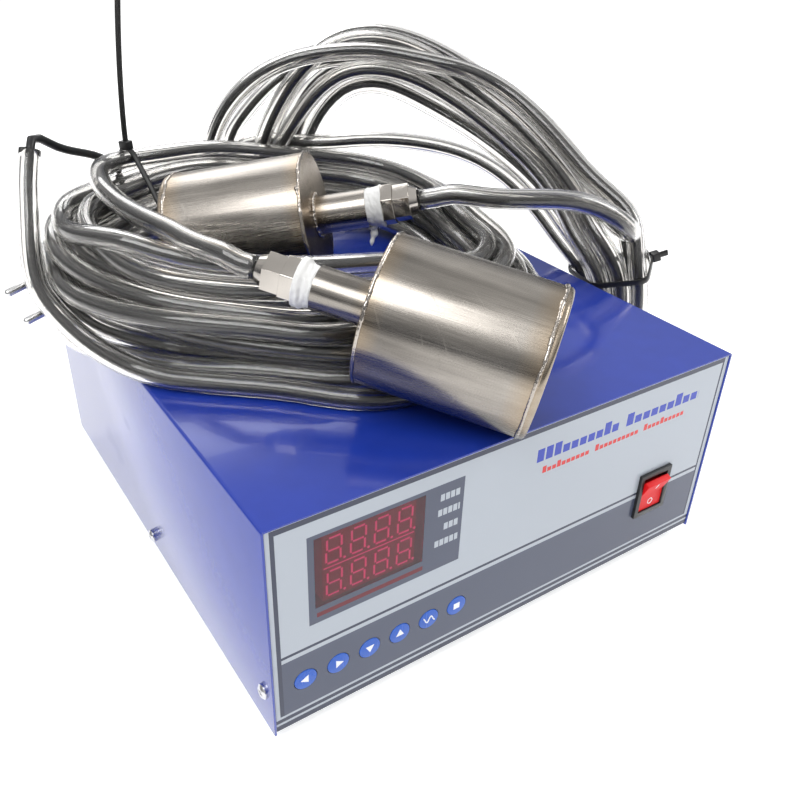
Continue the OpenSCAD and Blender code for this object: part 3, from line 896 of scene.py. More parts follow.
@dataclass
class Case:
    """The folded cover and everything fixed to it, in millimetres."""

    sheet: float = 1.2
    fold: float = 1.8
    lip: float = 0.25

    def build(self) -> None:
        """Builds and dresses the case."""
        self.cover()
        PAINT.cad("base_tray", ZINC)
        PAINT.cad("front_panel", ZINC)
        Bench.copy("cover_screws", "side_screws", 0.2, SCREW_STEEL, "screw_steel")
        Bench.copy("rubber_feet", "feet", 1.0, RUBBER, "foot_rubber", 3)

    def cover(self) -> None:
        """The cover: one sheet folded down at both sides."""
        obj = Bench.cube("cover_sheet", CASE_LOW, CASE_HIGH)
        with Bench.editing(obj):
            bpy.ops.mesh.select_mode(type="FACE")
            bpy.ops.mesh.select_all(action="DESELECT")
        for polygon in obj.data.polygons:
            polygon.select = abs(polygon.normal.y) > 0.5 or polygon.normal.z < -0.5
        with Bench.editing(obj):
            bpy.ops.mesh.delete(type="FACE")
        Bench.bevel(obj, self.fold * MM, 4)
        Bench.modify(obj, "SOLIDIFY", thickness=self.sheet * MM)
        Bench.bevel(obj, self.lip * MM, 2, 60.0)
        PAINT.root(obj, POWDER_COAT, "blue_coat", "case_cover")


# ---- Front ----


@dataclass
class Front:
    """The printed film, the display, the keys and the switch, in millimetres."""

    digit_h: float = 14.2
    digit_w: float = 7.4
    digit_pitch: float = 12.7
    row_pitch: float = 19.2
    slant: float = 0.08
    bar: float = 1.1
    soft: float = 0.15
    keys: tuple[str, ...] = ("key_left", "key_right", "key_down", "key_up", "key_wave", "key_stop")
    arrow_turns: tuple[float, ...] = (-0.25 * TURN, 0.25 * TURN, 0.5 * TURN, 0.0)

    def build(self) -> None:
        """Builds and dresses the front."""
        PAINT.cad("front_overlay", FilmFinish("printed_film", INK_PALE, rough=0.22, uneven=0.015, marks=0.01,
                                              areas=self.areas()))
        # The LED modules' finish gives them a painted glow.
        for node, finish in (("display_window", RED_ACRYLIC), ("led_modules", LED_BODY),
                             ("display_board", BOARD), ("key_switches", BLACK_PLASTIC)):
            PAINT.cad(node, finish)
        self.digits()
        for index, key in enumerate(self.keys):
            self.key(key, index)
        self.switch()

    @staticmethod
    def areas() -> tuple[PrintedArea, ...]:
        """The printed areas, from the lowest to the top one. Plain blocks stand where words would be."""
        full, edge, inner = (1.6, 298.4), (3.8, 295.5), (6.0, 294.0)
        title, tall, line, raised = (104.5, 109.5), (104.5, 112.5), (96.2, 98.8), (96.2, 100.4)
        rows = [
            (*edge, 5.0, 126.0, INK_DARK), (*inner, 50.2, 123.0, INK_PALE), (*inner, 46.0, 48.5, INK_PALE),
            (*inner, 10.5, 46.0, INK_BAND), (*full, 1.6, 9.0, INK_DARK), (*full, 9.0, 10.5, INK_PALE),
            (*full, 5.0, 6.5, INK_PALE), (21.0, 106.5, 62.5, 115.0, INK_BAND),
            (25.0, 84.0, 66.0, 68.6, INK_WINE), (153.0, 212.6, *title, INK_BLUE, 6.0),
            (218.0, 277.6, *title, INK_BLUE, 6.6), (158.0, 191.8, *line, INK_RED, 3.4),
            (196.0, 229.8, *line, INK_RED, 3.4), (234.0, 267.8, *line, INK_RED, 3.4)]
        rows += [(x, x + 4.8, *tall, INK_BLUE) for x in (153.0, 159.0, 165.0, 201.0)]
        rows += [(x, x + 5.3, *tall, INK_BLUE) for x in (218.0, 257.6)]
        rows += [(x, x + 2.7, *raised, INK_RED) for x in (158.0, 168.2, 196.0, 234.0, 247.6)]
        labels = ((107.0, 12.0), (98.0, 13.0), (88.5, 9.0), (79.0, 14.0))
        rows += [(104.5 - wide, 104.5, z - 2, z + 2, INK_PALE, 3.0) for z, wide in labels]
        return tuple(PrintedArea(*row) for row in rows)

    def strip(self, x: tuple[float, float], z: tuple[float, float], face: float) -> Piece:
        """A thin bar on the modules' face.

        Args:
            x: Its left and right edges.
            z: Its lower and upper edges.
            face: Where the face is, in metres.

        Returns:
            The bar.
        """
        low, high = spot(x[0], 0, z[0]), spot(x[1], 0, z[1])
        low.y, high.y = (face + off for off in STRIP)
        return Bench.bevel(Bench.cube("bar", low, high), self.soft * MM)

    def digits(self) -> None:
        """Two rows of four digits, each of seven bars and a dot, unlit behind the window, and one long thin
        bar; their finish gives all of them a painted glow.
        """
        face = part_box("led_modules")[0].y
        window_low, window_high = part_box("display_window")
        middle = ((window_low + window_high) / 2 - Vector(CORNER)) / MM
        half, wide, bar = self.digit_h / 2, self.digit_w, self.bar
        shapes = [(0, up, wide - 1.6, bar) for up in (half, 0, -half)]
        shapes += [(sx * wide / 2, sz * half / 2, bar, half - 1.4) for sx in (-1, 1) for sz in (-1, 1)]
        made = []
        for row in (-1, 1):
            for k in range(4):
                cx = middle.x + (k - 1.5) * self.digit_pitch
                cz = middle.z + row * self.row_pitch / 2
                for dx, dz, w, h in shapes:
                    x, z = cx + dx + dz * self.slant, cz + dz
                    made.append(self.strip((x - w / 2, x + w / 2), (z - h / 2, z + h / 2), face))
                at = spot(cx + 5.4, 0, cz - half)
                at.y = face
                made.append(Bench.disc("dot", at, Vector((0, 1, 0)), 0.0008, 0.0005, 12))
        made.append(self.strip((29.5, 78.5), (92.0, 92.7), face))
        PAINT.root(Bench.join("digit_bars", made), LED_SEGMENT, "led_black")

    def key(self, node: str, index: int) -> None:
        """One key with its white sign, which moves with it.

        Args:
            node: The key's CAD node and body.
            index: Its place in the row, from the left.
        """
        Bench.copy(node, f"{node}_cap", 0.3, KEY_BLUE, "key_blue", 3)
        low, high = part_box(node)
        at = Vector(((low.x + high.x) / 2, low.y, (low.z + high.z) / 2))
        if index < len(self.arrow_turns):
            sign = Bench.disc("sign", at, Vector((0, -1, 0)), 0.0028, 0.0003, 3)
            tip = max((v.co - at for v in sign.data.vertices), key=lambda d: d.length)
            turn = self.arrow_turns[index] - math.atan2(tip.x, tip.z)
            sign.data.transform(Matrix.Translation(at) @ Matrix.Rotation(turn, 4, "Y")
                                @ Matrix.Translation(-at))
        elif node == "key_wave":
            t = np.linspace(-1, 1, 25)
            up = 0.0017 * np.sin(t * 1.5 * np.pi)
            wave = np.stack([at.x + t * 0.0036, np.full(25, at.y), at.z + up], 1)
            sign = tube_mesh("sign", wave, 0.00038, 8)
        else:
            side = Vector((0.0019, 0.00015, 0.0019))
            sign = Bench.bevel(Bench.cube("sign", at - side, at + side), 0.0001)
        sign.name = f"{node}_sign"
        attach(sign, node)
        PAINT.on(sign, KEY_WHITE)
        LOG.info("key %s at %s", node, tuple(round(c, 4) for c in at))

    @staticmethod
    def switch() -> None:
        """The switch's housing and its rocker, with a ring and a bar on it."""
        Bench.copy("switch_housing", "switch_bezel", 0.5, BLACK_PLASTIC, "black_plastic", 3)
        rocker = Bench.copy("power_rocker", "rocker", 0.4, ROCKER_RED, "rocker_red", 3)
        bpy.context.view_layer.update()
        low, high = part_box("power_rocker")
        ring = {"major_radius": 0.0019, "minor_radius": 0.00028, "major_segments": 32, "minor_segments": 8}
        bar = {"vertices": 16, "radius": 0.0003, "depth": 0.0042}
        for name, shape, sizes, up, lay in (("rocker_ring", "torus", ring, -0.0062, 0.0),
                                            ("rocker_bar", "cylinder", bar, 0.0065, 0.25 * TURN)):
            start = Vector(((low.x + high.x) / 2, CASE_LOW.y - 0.05, (low.z + high.z) / 2 + up))
            _, place, normal, _ = rocker.ray_cast(start, Vector((0, 1, 0)))
            obj = Bench.start(shape, name, **sizes)
            obj.matrix_world = Matrix.Translation(place) @ turned_to(normal) @ Matrix.Rotation(lay, 4, "X")
            Bench.smooth(Bench.settle(obj))
            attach(obj, "rocker")
            PAINT.on(obj, KEY_WHITE)


# ---- Back and inside ----


@dataclass
class Back:
    """The back wall's fittings and what the case holds."""

    plain: dict[str, Finish] = field(default_factory=lambda: {
        "fan_frame": FAN_PLASTIC, "fan_rotor": FAN_PLASTIC, "fan_guard": SCREW_STEEL, "main_board": BOARD,
        "transformer": VARNISH, "heatsink": ALUMINIUM, "board_components": SLEEVE,
        "front_masses": ALUMINIUM, "piezo_rings": CERAMIC, "back_masses": MASS_STEEL})
    rounded: tuple[tuple[str, str, float, Finish, str], ...] = (
        ("fan_screws", "fan_screw_heads", 0.4, SCREW_STEEL, "screw_steel"),
        ("mains_gland", "cord_gland", 0.4, BLACK_PLASTIC, "black_plastic"),
        ("output_sockets", "sockets", 0.3, NICKEL, "nickel"),
        ("fuse_holder", "fuse_socket", 0.3, BLACK_PLASTIC, "black_plastic"),
        ("fuse_cap", "fuse_knob", 0.4, BLACK_PLASTIC, "black_plastic"))

    def build(self) -> None:
        """Dresses the plain nodes and rounds the fittings."""
        for node, finish in self.plain.items():
            PAINT.cad(node, finish)
        for fitting in self.rounded:
            Bench.copy(*fitting)


# ---- Transducers ----


@dataclass
class Transducer:
    """One transducer: its can, its welds, its neck, its tape and its gland, in millimetres.

    Attributes:
        tag: The prefix of its nodes' names.
        face: Centre of its sound face.
        axis: Direction from the face to the neck.
        drip: Whether an end of tape hangs down from the thread.
        entry: Distance from the face at which the hose leaves the gland.
        swell: Steps between two swells of a bead, and their usual share of its thickness.
        shift: Steps between two sideways shifts of a bead, and their usual size.
        ripple: Height of a bead's ripples as a share of its thickness, and their number.
        film: How much a wrap of tape adds to the radius.
        crease: How uneven the tape is.
    """

    tag: str
    face: Triple
    axis: Triple
    drip: bool = False
    can_r: float = 37.0
    face_t: float = 4.5
    can_l: float = 85.0
    neck_r: float = 11.25
    neck_l: float = 31.0
    tape_r: float = 11.3
    tape_l: float = 10.4
    entry: float = 146.0
    bead_r: float = 0.95
    bead_steps: int = 240
    swell: tuple[float, float] = (3.0, 0.22)
    shift: tuple[float, float] = (6.0, 0.28)
    ripple: tuple[float, int] = (0.10, 90)
    wraps: int = 6
    film: float = 0.22
    crease: float = 0.30

    def along(self, distance: float) -> Array:
        """The point on the axis that far from the face."""
        return np.array(self.face) + unit(self.axis) * distance

    def way_out(self) -> tuple[Array, Array]:
        """The hose's first points, straight out of the gland."""
        return self.along(self.entry), self.along(self.entry + 14)

    def build(self, rng: Random) -> None:
        """Builds and dresses the transducer.

        Args:
            rng: The seeded generator that its welds and tape come from.
        """
        steel = SteelFinish(f"{self.tag}_steel", (0.40, 0.37, 0.335), rough=0.24, metal=1.0, grain=0.0009,
                            depth=0.00001, uneven=0.08, marks=0.06, at=tuple(spot(*self.face)),
                            axis=tuple(unit(self.axis)), welds=(self.face_t * MM, self.can_l * MM))
        for part in ("can", "face_plate", "neck_plate", "neck"):
            PAINT.cad(f"{self.tag}_{part}", steel)
        self.bead("face_weld", self.face_t - 0.4, self.can_r - 0.15, rng)
        self.bead("neck_plate_weld", self.can_l - 1.0, self.can_r - 0.15, rng)
        self.bead("neck_weld", self.can_l + 0.6, self.neck_r + 0.9, rng)
        self.tape(rng)
        for part in ("gland_body", "gland_nut"):
            Bench.copy(f"{self.tag}_{part}", f"{self.tag}_{part}_hex", 0.5, NICKEL, "nickel", 3)

    def bead(self, name: str, distance: float, radius: float, rng: Random) -> None:
        """A weld bead round the axis, with the uneven ripples of a hand weld.

        Args:
            name: The bead's name.
            distance: How far from the face it runs.
            radius: Its radius round the axis.
            rng: The seeded generator its ripples come from.
        """
        steps, (height, ripples) = self.bead_steps, self.ripple
        obj = Bench.start("torus", f"{self.tag}_{name}", major_radius=radius * MM,
                          minor_radius=self.bead_r * MM, major_segments=steps, minor_segments=10)
        swell = wander(rng, steps + 1, *self.swell)
        shift = wander(rng, steps + 1, *self.shift)
        for vertex in obj.data.vertices:
            x, y, _ = vertex.co
            share = (math.atan2(y, x) / TURN) % 1.0
            i = int(share * steps)
            blend = min(1.0, 12 * min(share, 1 - share))
            centre = Vector((x, y, 0)).normalized() * radius * MM
            ripple = 1 + blend * swell[i] + height * math.sin(share * TURN * ripples)
            vertex.co = centre + (vertex.co - centre) * ripple + Vector((0, 0, blend * shift[i] * MM))
        obj.matrix_world = Matrix.Translation(spot(*self.along(distance))) @ turned_to(unit(self.axis))
        Bench.smooth(Bench.settle(obj), 60.0)
        PAINT.root(obj, BEAD, "stainless")

    def tape(self, rng: Random) -> None:
        """White film wound on the thread, creased, with ragged edges.

        Args:
            rng: The seeded generator its creases come from.
        """
        start, length, rings, sides = self.can_l + self.neck_l - 0.8, self.tape_l, 22, 56
        distances = np.linspace(0, length, rings)
        radius = np.full((rings, sides), self.tape_r)
        for k in range(self.wraps):
            wrap, lean = rng.uniform(0, length), rng.uniform(-2.5, 2.5)
            edge = wrap + lean * np.sin(TURN * np.arange(sides) / sides + k)
            radius += self.film * np.tanh((distances[:, None] - edge) * 2.5)
        radius += rng.normal(0, self.crease, (rings, sides))
        radius[1:-1] = (radius[:-2] + 2 * radius[1:-1] + radius[2:]) / 4
        radius[0], radius[-1] = self.tape_r - 2.0, self.tape_r - 2.2
        line = spots([self.along(start + d) for d in distances])
        PAINT.root(tube_mesh(f"{self.tag}_tape_wraps", line, radius * MM, sides), TAPE, "thread_tape",
                   f"{self.tag}_thread_tape")
        if self.drip:
            self.hanging_end(start)

    def hanging_end(self, start: float) -> None:
        """A twisted end of film that hangs from the lower side of the thread.

        Args:
            start: Where the tape starts on the axis.
        """
        steps, sides = np.linspace(0, 1, 14), 10
        top = self.along(start + 3) + np.array([0, 0, -10.0])
        line = top + np.stack([1.2 * np.sin(steps * 5), -1.5 * steps - 1, -13 * steps], 1)
        thick = ((2.6 * (1 - steps) ** 0.7 + 0.35) * (1 + 0.25 * np.sin(steps * 17)))[:, None]
        PAINT.root(tube_mesh(f"{self.tag}_tape_end", spots(line), np.repeat(thick, sides, 1) * MM, sides),
                   TAPE, "thread_tape")


# ---- Hoses, cables and cords ----

TRANSDUCERS = (Transducer("t1", (148, -3, 165), (-0.639, 0.745, 0.189)),
               Transducer("t2", (64, 234, 165.2), (0.765, -0.605, 0.21), drip=True))

# Routes as in the CAD source, in the case's millimetres
LEAD_1 = [[36, 137, 203], [27, 172, 207], [21, 215, 208], [27, 262, 208], [44, 295, 206]]
END_1 = [[-12, 165, 147], [-20, 202, 160], [-20, 236, 180], [-15, 256, 200], [-8, 266, 219]]
LEAD_2 = [[204, 119, 206], [238, 100, 208], [276, 90, 198], [306, 92, 176]]
END_2 = [[176, 360, 182], [150, 362, 170]]
TAIL_1 = [[-3, 272, 224], [14, 286, 212], [44, 308, 196], [60, 336, 168], [64, 362, 130], [66, 374, 92],
          [66, 368, 66], [66, 348, 58]]
TAIL_2 = [[128, 362, 158], [112, 370, 130], [102, 374, 96], [98, 368, 66], [98, 348, 58]]
MAINS_ROUTE = [[40, 278, 150], [50, 298, 142], [52, 318, 136], [50, 340, 118], [46, 350, 82], [52, 356, 44],
               [80, 364, 14]]
MAINS_END = [[24, 348, 30], [26, 358, 28], [32, 368, 22], [38, 385, 10]]
COIL_1_AT = (115.0, 190.0)
COIL_2 = [[322, 114, 132], [318, 158, 174], [311, 215, 206], [287, 265, 233], [252, 303, 250],
          [220, 324, 242], [200, 340, 208], [190, 356, 160], [196, 370, 104], [220, 378, 52],
          [265, 376, 24], [322, 350, 18], [352, 282, 18], [358, 204, 28], [346, 146, 66]]
COIL_2_MID = (240.0, 250.0, 120.0)
MAINS_COIL_AT = (78.0, 405.0)
PLUG_AT = np.array([-16.0, 255.0, 138.0])
PLUG_AXIS = unit((0.959, 0.134, 0.247))


def bump(degrees: Array, middle: float, half: float) -> Array:
    """A smooth hump over an angle: 1 at the middle, and 0 from half away on.

    Args:
        degrees: The angles.
        middle: Where the hump is highest.
        half: How far it reaches to each side.

    Returns:
        Its height at each angle.
    """
    away = (degrees - middle + 180) % 360 - 180
    return np.where(np.abs(away) < half, np.cos(np.radians(away * 90 / half)) ** 2, 0.0)


def from_slots(slots: Slots, turns: Array, hold: float) -> Array:
    """Where a strand sits in a bundle's section: in one slot for most of a turn, then in the next.

    Args:
        slots: The places that the turns take in order.
        turns: How many turns have been made at each point.
        hold: The share of a turn before it starts to change place.

    Returns:
        Two offsets for each point, in rows.
    """
    S = np.array(slots, float)
    k = np.minimum(turns.astype(int), len(S) - 2)
    t = eased(np.clip((turns - k - hold) / (1 - hold), 0, 1))[:, None]
    return (S[k] * (1 - t) + S[k + 1] * t).T


def round_turns(at: tuple[float, float], r: Array, angle: Array, z: Array) -> Array:
    """Points round an upright axis, from their distance, angle and height."""
    return np.stack([at[0] + r * np.cos(angle), at[1] + r * np.sin(angle), z], 1)


def with_ends(start: Points, turns: Array, end: Points, step: float) -> Array:
    """A coil's turns with smooth stretches led in and out.

    Args:
        start: Points that lead in, of which the last two lie on the coil.
        turns: The coil's own points between the two stretches.
        end: Points that lead out, of which the first two lie on the coil.
        step: The distance between the new line's points.

    Returns:
        The whole line.
    """
    return spaced(np.vstack([smooth_line(start, 8)[:-8], turns, smooth_line(end, 8)[8:]]), step)


@dataclass
class FlatCoil:
    """The coil that lies on the case: low at the front, heaped at the back left."""

    slots: Slots = (
        (0.1, 5.0), (1.0, 4.3), (-0.2, 4.1), (0.6, 3.4), (1.5, 3.2), (1.9, 2.2), (0.9, 2.3), (-0.1, 2.9),
        (-1.1, 2.2), (-0.3, 1.5), (0.6, 1.2), (1.7, 1.1), (2.2, 0.1), (1.2, 0.0), (0.2, 0.0))
    turns: float = 12.74
    first: float = 112.0
    per_turn: int = 80
    pitch: float = 12.6
    layer: float = 8.2

    def line(self, rng: Random) -> Array:
        """The coil's own turns, clockwise from above.

        Args:
            rng: The seeded generator its unevenness comes from.

        Returns:
            The centreline, in the case's millimetres.
        """
        count = int(self.turns * self.per_turn)
        turns = np.linspace(0, self.turns, count)
        degrees = self.first - 360 * turns
        side, layer = from_slots(self.slots, turns, 0.55)
        inner = np.clip((2.5 - turns) / 0.4, 0, 1) * bump(degrees, -78, 80)
        lone = np.clip((turns - 11.9) / 0.3, 0, 1) * bump(degrees, -92, 45)
        side, layer = side - 0.6 * inner + 1.5 * lone, layer + 1.6 * inner
        tall, tie = np.minimum(1, 1.35 * bump(degrees, 130, 110)), bump(degrees, 38, 50)
        middle = 120 - 40 * bump(degrees, -128, 85) + 26 * tie
        pitch = self.pitch * (1 + 0.1 * bump(degrees, -90, 70) - 0.1 * tall + 0.3 * tie)
        rise = self.layer * (1 + 0.65 * tall + 0.25 * bump(degrees, -140, 60) - 0.25 * bump(degrees, -20, 70))
        r = middle + side * pitch + wander(rng, count, 26, 2.2)
        z = CASE_H + 6.5 + layer * rise + wander(rng, count, 26, 1.5)
        return round_turns(COIL_1_AT, r, np.radians(degrees), z)

    def hose(self, rng: Random) -> Array:
        """The whole hose, from the gland nut to its open end.

        Args:
            rng: The seeded generator its unevenness comes from.

        Returns:
            The centreline, in the case's millimetres.
        """
        turns = self.line(rng)
        return with_ends([*TRANSDUCERS[0].way_out(), *LEAD_1, turns[2], turns[14]], turns[2:-9],
                         [turns[-22], turns[-9], *END_1], HOSE_STEP)


@dataclass
class StandingCoil:
    """The coil that stands behind the case and hangs over its right side."""

    slots: Slots = (
        (0.6, 1.0), (1.1, 0.1), (0.6, -0.9), (0.1, 0.1), (-0.4, 1.0), (-0.9, 0.1), (-0.4, -0.9), (1.6, -0.9),
        (1.6, 1.0), (-1.5, 0.9), (-1.6, -0.6))
    turns: float = 9.42
    pitch: float = 12.6
    slip: Triple = (-46, 0, -30)

    def line(self, rng: Random) -> Array:
        """The coil's own turns, wide over the arch and close at the tie.

        Args:
            rng: The seeded generator its unevenness comes from.

        Returns:
            The centreline, in the case's millimetres.
        """
        loop = smooth_line(COIL_2, 8, closed=True)
        base = spaced(np.vstack([loop, loop[:1]]), HOSE_STEP)[:-1]
        per_turn = len(base)
        t = np.roll(base, -1, 0) - np.roll(base, 1, 0)
        t /= np.linalg.norm(t, axis=1)[:, None]
        u = base - np.array(COIL_2_MID)
        u -= (u * t).sum(1)[:, None] * t
        u /= np.linalg.norm(u, axis=1)[:, None]
        v = np.cross(t, u)
        degrees = np.arange(per_turn) / per_turn * 360
        arch, low = bump(degrees, 97, 79), bump(degrees, 252, 72)
        pitch_u = self.pitch * (0.95 + 0.5 * arch + 0.2 * low)
        pitch_v = self.pitch * (1 + 0.55 * arch + 0.25 * low)
        count = int(self.turns * per_turn)
        turns = np.arange(count) / per_turn
        j = np.arange(count) % per_turn
        cu, cv = from_slots(self.slots, turns, 0.45)
        loose = 0.4 + bump(degrees, 97, 90)[j]
        du = cu * pitch_u[j] + wander(rng, count, 22, 3.0) * loose
        dv = cv * pitch_v[j] + wander(rng, count, 22, 3.0) * loose
        slipped = np.clip((turns - (self.turns - 2.6)) * 4, 0, 1) * bump(degrees, 122, 72)[j]
        return base[j] + du[:, None] * u[j] + dv[:, None] * v[j] + slipped[:, None] * np.array(self.slip)

    def hose(self, rng: Random) -> Array:
        """The whole hose, from the gland nut to its open end.

        Args:
            rng: The seeded generator its unevenness comes from.

        Returns:
            The centreline, in the case's millimetres.
        """
        turns = self.line(rng)
        return with_ends([*TRANSDUCERS[1].way_out(), *LEAD_2, turns[8], turns[18]], turns[8:-12],
                         [turns[-26], turns[-12], *END_2], HOSE_STEP)


@dataclass
class Settling:
    """Lets the hoses settle: they push each other apart, bend evenly, keep their length and rest on things.

    Attributes:
        strands: The hoses' centrelines, in the case's millimetres.
        solids: What they rest on: each a cylinder's origin, axis, first and last distance and radius.
        steps: How many steps they settle for.
        gap: How far apart the strands come to lie.
        fall: How far a free point falls in a step.
        held: How many points at each end stay in place.
        homing: How much of the way home a point goes in a step, at first and at last.
        evening: How much of an uneven bend goes in a step.
        pushing: How much of an overlap goes in a step.
        tightening: How much of a stretch goes in a pass.
        passes: How many such passes a step has.
        look: Steps between two looks at which points may meet, and how far past the gap they go.
        apart_by: Points along one strand that are too close together to push each other.
        beside: How far along a strand a point may be and still be pushed by it.
        skin: Half a hose and a little more, which stays clear of solid things.
        floors: The lowest height of each strand's centre.
    """

    strands: list[Array]
    solids: list[tuple[Array, Array, float, float, float]]
    steps: int = 260
    gap: float = 12.5
    fall: float = 0.12
    held: int = 3
    homing: tuple[float, float] = (0.05, 0.006)
    evening: float = 0.24
    pushing: float = 1.3
    tightening: float = 0.5
    passes: int = 3
    look: tuple[int, float] = (8, 9.0)
    apart_by: int = 5
    beside: float = 7.5
    skin: float = HOSE_D / 2 + 0.1
    floors: tuple[float, float] = (CASE_H + 6.1, FLOOR_Z + 6.1)

    def run(self) -> list[Array]:
        """The strands after they have settled."""
        P = np.vstack(self.strands)
        sizes = [len(s) for s in self.strands]
        strand = np.repeat(np.arange(len(sizes)), sizes)
        held = np.zeros(self.held)
        free = np.concatenate([np.r_[held, np.ones(size - 2 * self.held), held] for size in sizes])
        home = P.copy()
        link = np.where(strand[:-1] == strand[1:])[0]
        rest = np.linalg.norm(P[link + 1] - P[link], axis=1)
        inner = np.where(strand[:-4] == strand[4:])[0] + 2
        move, loose = free[:, None], free > 0
        lowest = np.where(loose, np.array(self.floors)[strand], -1000.0)
        pairs = (np.array([], int), np.array([], int))
        for step in range(self.steps):
            if step % self.look[0] == 0:
                pairs = self.near(P, strand)
            share = step / self.steps
            P[:, 2] -= self.fall * free
            P += move * (home - P) * (self.homing[0] * (1 - share) + self.homing[1] * share)
            P += move * self.bend(P, inner) * self.evening
            P += move * self.apart(P, *pairs) * self.pushing
            self.off_case(P, loose)
            for solid in self.solids:
                self.off_solid(P, loose, *solid)
            P[:, 2] = np.maximum(P[:, 2], lowest)
            for _ in range(self.passes):
                P += self.stretch(P, link, rest, free) * self.tightening
        return np.split(P, np.cumsum(sizes)[:-1])

    def near(self, P: Array, strand: Array) -> tuple[Array, Array]:
        """Pairs of points that may meet soon.

        Args:
            P: Every strand's points.
            strand: The strand that each point is on.

        Returns:
            The points' numbers, first and second of each pair.
        """
        square = (P * P).sum(1)
        apart = square[:, None] + square[None] - 2 * P @ P.T
        a, b = np.where(np.triu(apart < (self.gap + self.look[1]) ** 2, self.apart_by))
        keep = (strand[a] != strand[b]) | (b - a > self.apart_by)
        return a[keep], b[keep]

    @staticmethod
    def bend(P: Array, inner: Array) -> Array:
        """The moves that even out the curvature along each hose.

        Args:
            P: Every strand's points.
            inner: Points with two neighbours on each side.

        Returns:
            A move for each point.
        """
        curve, out = np.zeros_like(P), np.zeros_like(P)
        curve[inner] = (P[inner - 1] + P[inner + 1]) / 2 - P[inner]
        out[inner] = curve[inner] - (curve[inner - 1] + curve[inner + 1]) / 2
        return out

    def apart(self, P: Array, a: Array, b: Array) -> Array:
        """The moves that push strands apart, across the strand that they meet.

        Args:
            P: Every strand's points.
            a: First points of the pairs.
            b: Second points of the pairs.

        Returns:
            A move for each point.
        """
        tangent = np.zeros_like(P)
        tangent[1:-1] = P[2:] - P[:-2]
        tangent /= np.maximum(np.linalg.norm(tangent, axis=1), 1e-6)[:, None]
        d = P[a] - P[b]
        along = (d * tangent[b]).sum(1)
        d = d - along[:, None] * tangent[b]
        length = np.sqrt((d * d).sum(1)) + 1e-6
        hit = (length < self.gap) & (np.abs(along) < self.beside)
        a, b, d, length = a[hit], b[hit], d[hit], length[hit]
        push = d / length[:, None] * ((self.gap - length) * 0.5)[:, None]
        n = len(P)
        count = np.bincount(a, minlength=n) + np.bincount(b, minlength=n)
        total = np.stack([np.bincount(a, push[:, k], n) - np.bincount(b, push[:, k], n) for k in range(3)], 1)
        return total / np.maximum(count, 1)[:, None]

    @staticmethod
    def stretch(P: Array, link: Array, rest: Array, free: Array) -> Array:
        """The moves that bring each link back to its length.

        Args:
            P: Every strand's points.
            link: Points that a link starts at.
            rest: The links' lengths.
            free: 0 for a held point, and 1 for a free one.

        Returns:
            A move for each point.
        """
        d = P[link + 1] - P[link]
        length = np.linalg.norm(d, axis=1)
        w0, w1 = free[link], free[link + 1]
        pull = d * ((length - rest) / length / np.maximum(w0 + w1, 1e-9))[:, None] * 0.9
        out = np.zeros_like(P)
        out[link] += pull * w0[:, None]
        out[link + 1] -= pull * w1[:, None]
        return out

    def off_case(self, P: Array, loose: Array) -> None:
        """Moves loose points out of the case.

        Args:
            P: Every strand's points.
            loose: Which of them may move.
        """
        r = self.skin
        x, y, z = P.T
        deep = np.stack([CASE_H + r - z, x + r, CASE_W + r - x, y + r, CASE_D + r - y], 1)
        inside = (deep > 0).all(1) & loose
        nearest = deep.argmin(1)
        for k, (axis, sign) in enumerate([(2, 1), (0, -1), (0, 1), (1, -1), (1, 1)]):
            chosen = inside & (nearest == k)
            P[chosen, axis] += sign * deep[chosen, k]

    def off_solid(self, P: Array, loose: Array, at: Array, axis: Array, first: float, last: float,
                  radius: float) -> None:
        """Moves loose points out of a cylinder round an axis.

        Args:
            P: Every strand's points.
            loose: Which of them may move.
            at: A point on the cylinder's axis.
            axis: The axis, one long.
            first: Where the cylinder starts along it.
            last: Where it ends.
            radius: Its radius.
        """
        r = self.skin
        s = (P - at) @ axis
        out = P - at - s[:, None] * axis
        away = np.linalg.norm(out, axis=1)
        side_deep, low_deep, high_deep = radius + r - away, s - first + r, last + r - s
        inside = (side_deep > 0) & (low_deep > 0) & (high_deep > 0) & loose
        side = inside & (side_deep <= np.minimum(low_deep, high_deep))
        P[side] += out[side] / away[side, None] * side_deep[side, None]
        low = inside & ~side & (low_deep < high_deep)
        P[low] -= axis * low_deep[low, None]
        high = inside & ~side & (low_deep >= high_deep)
        P[high] += axis * high_deep[high, None]


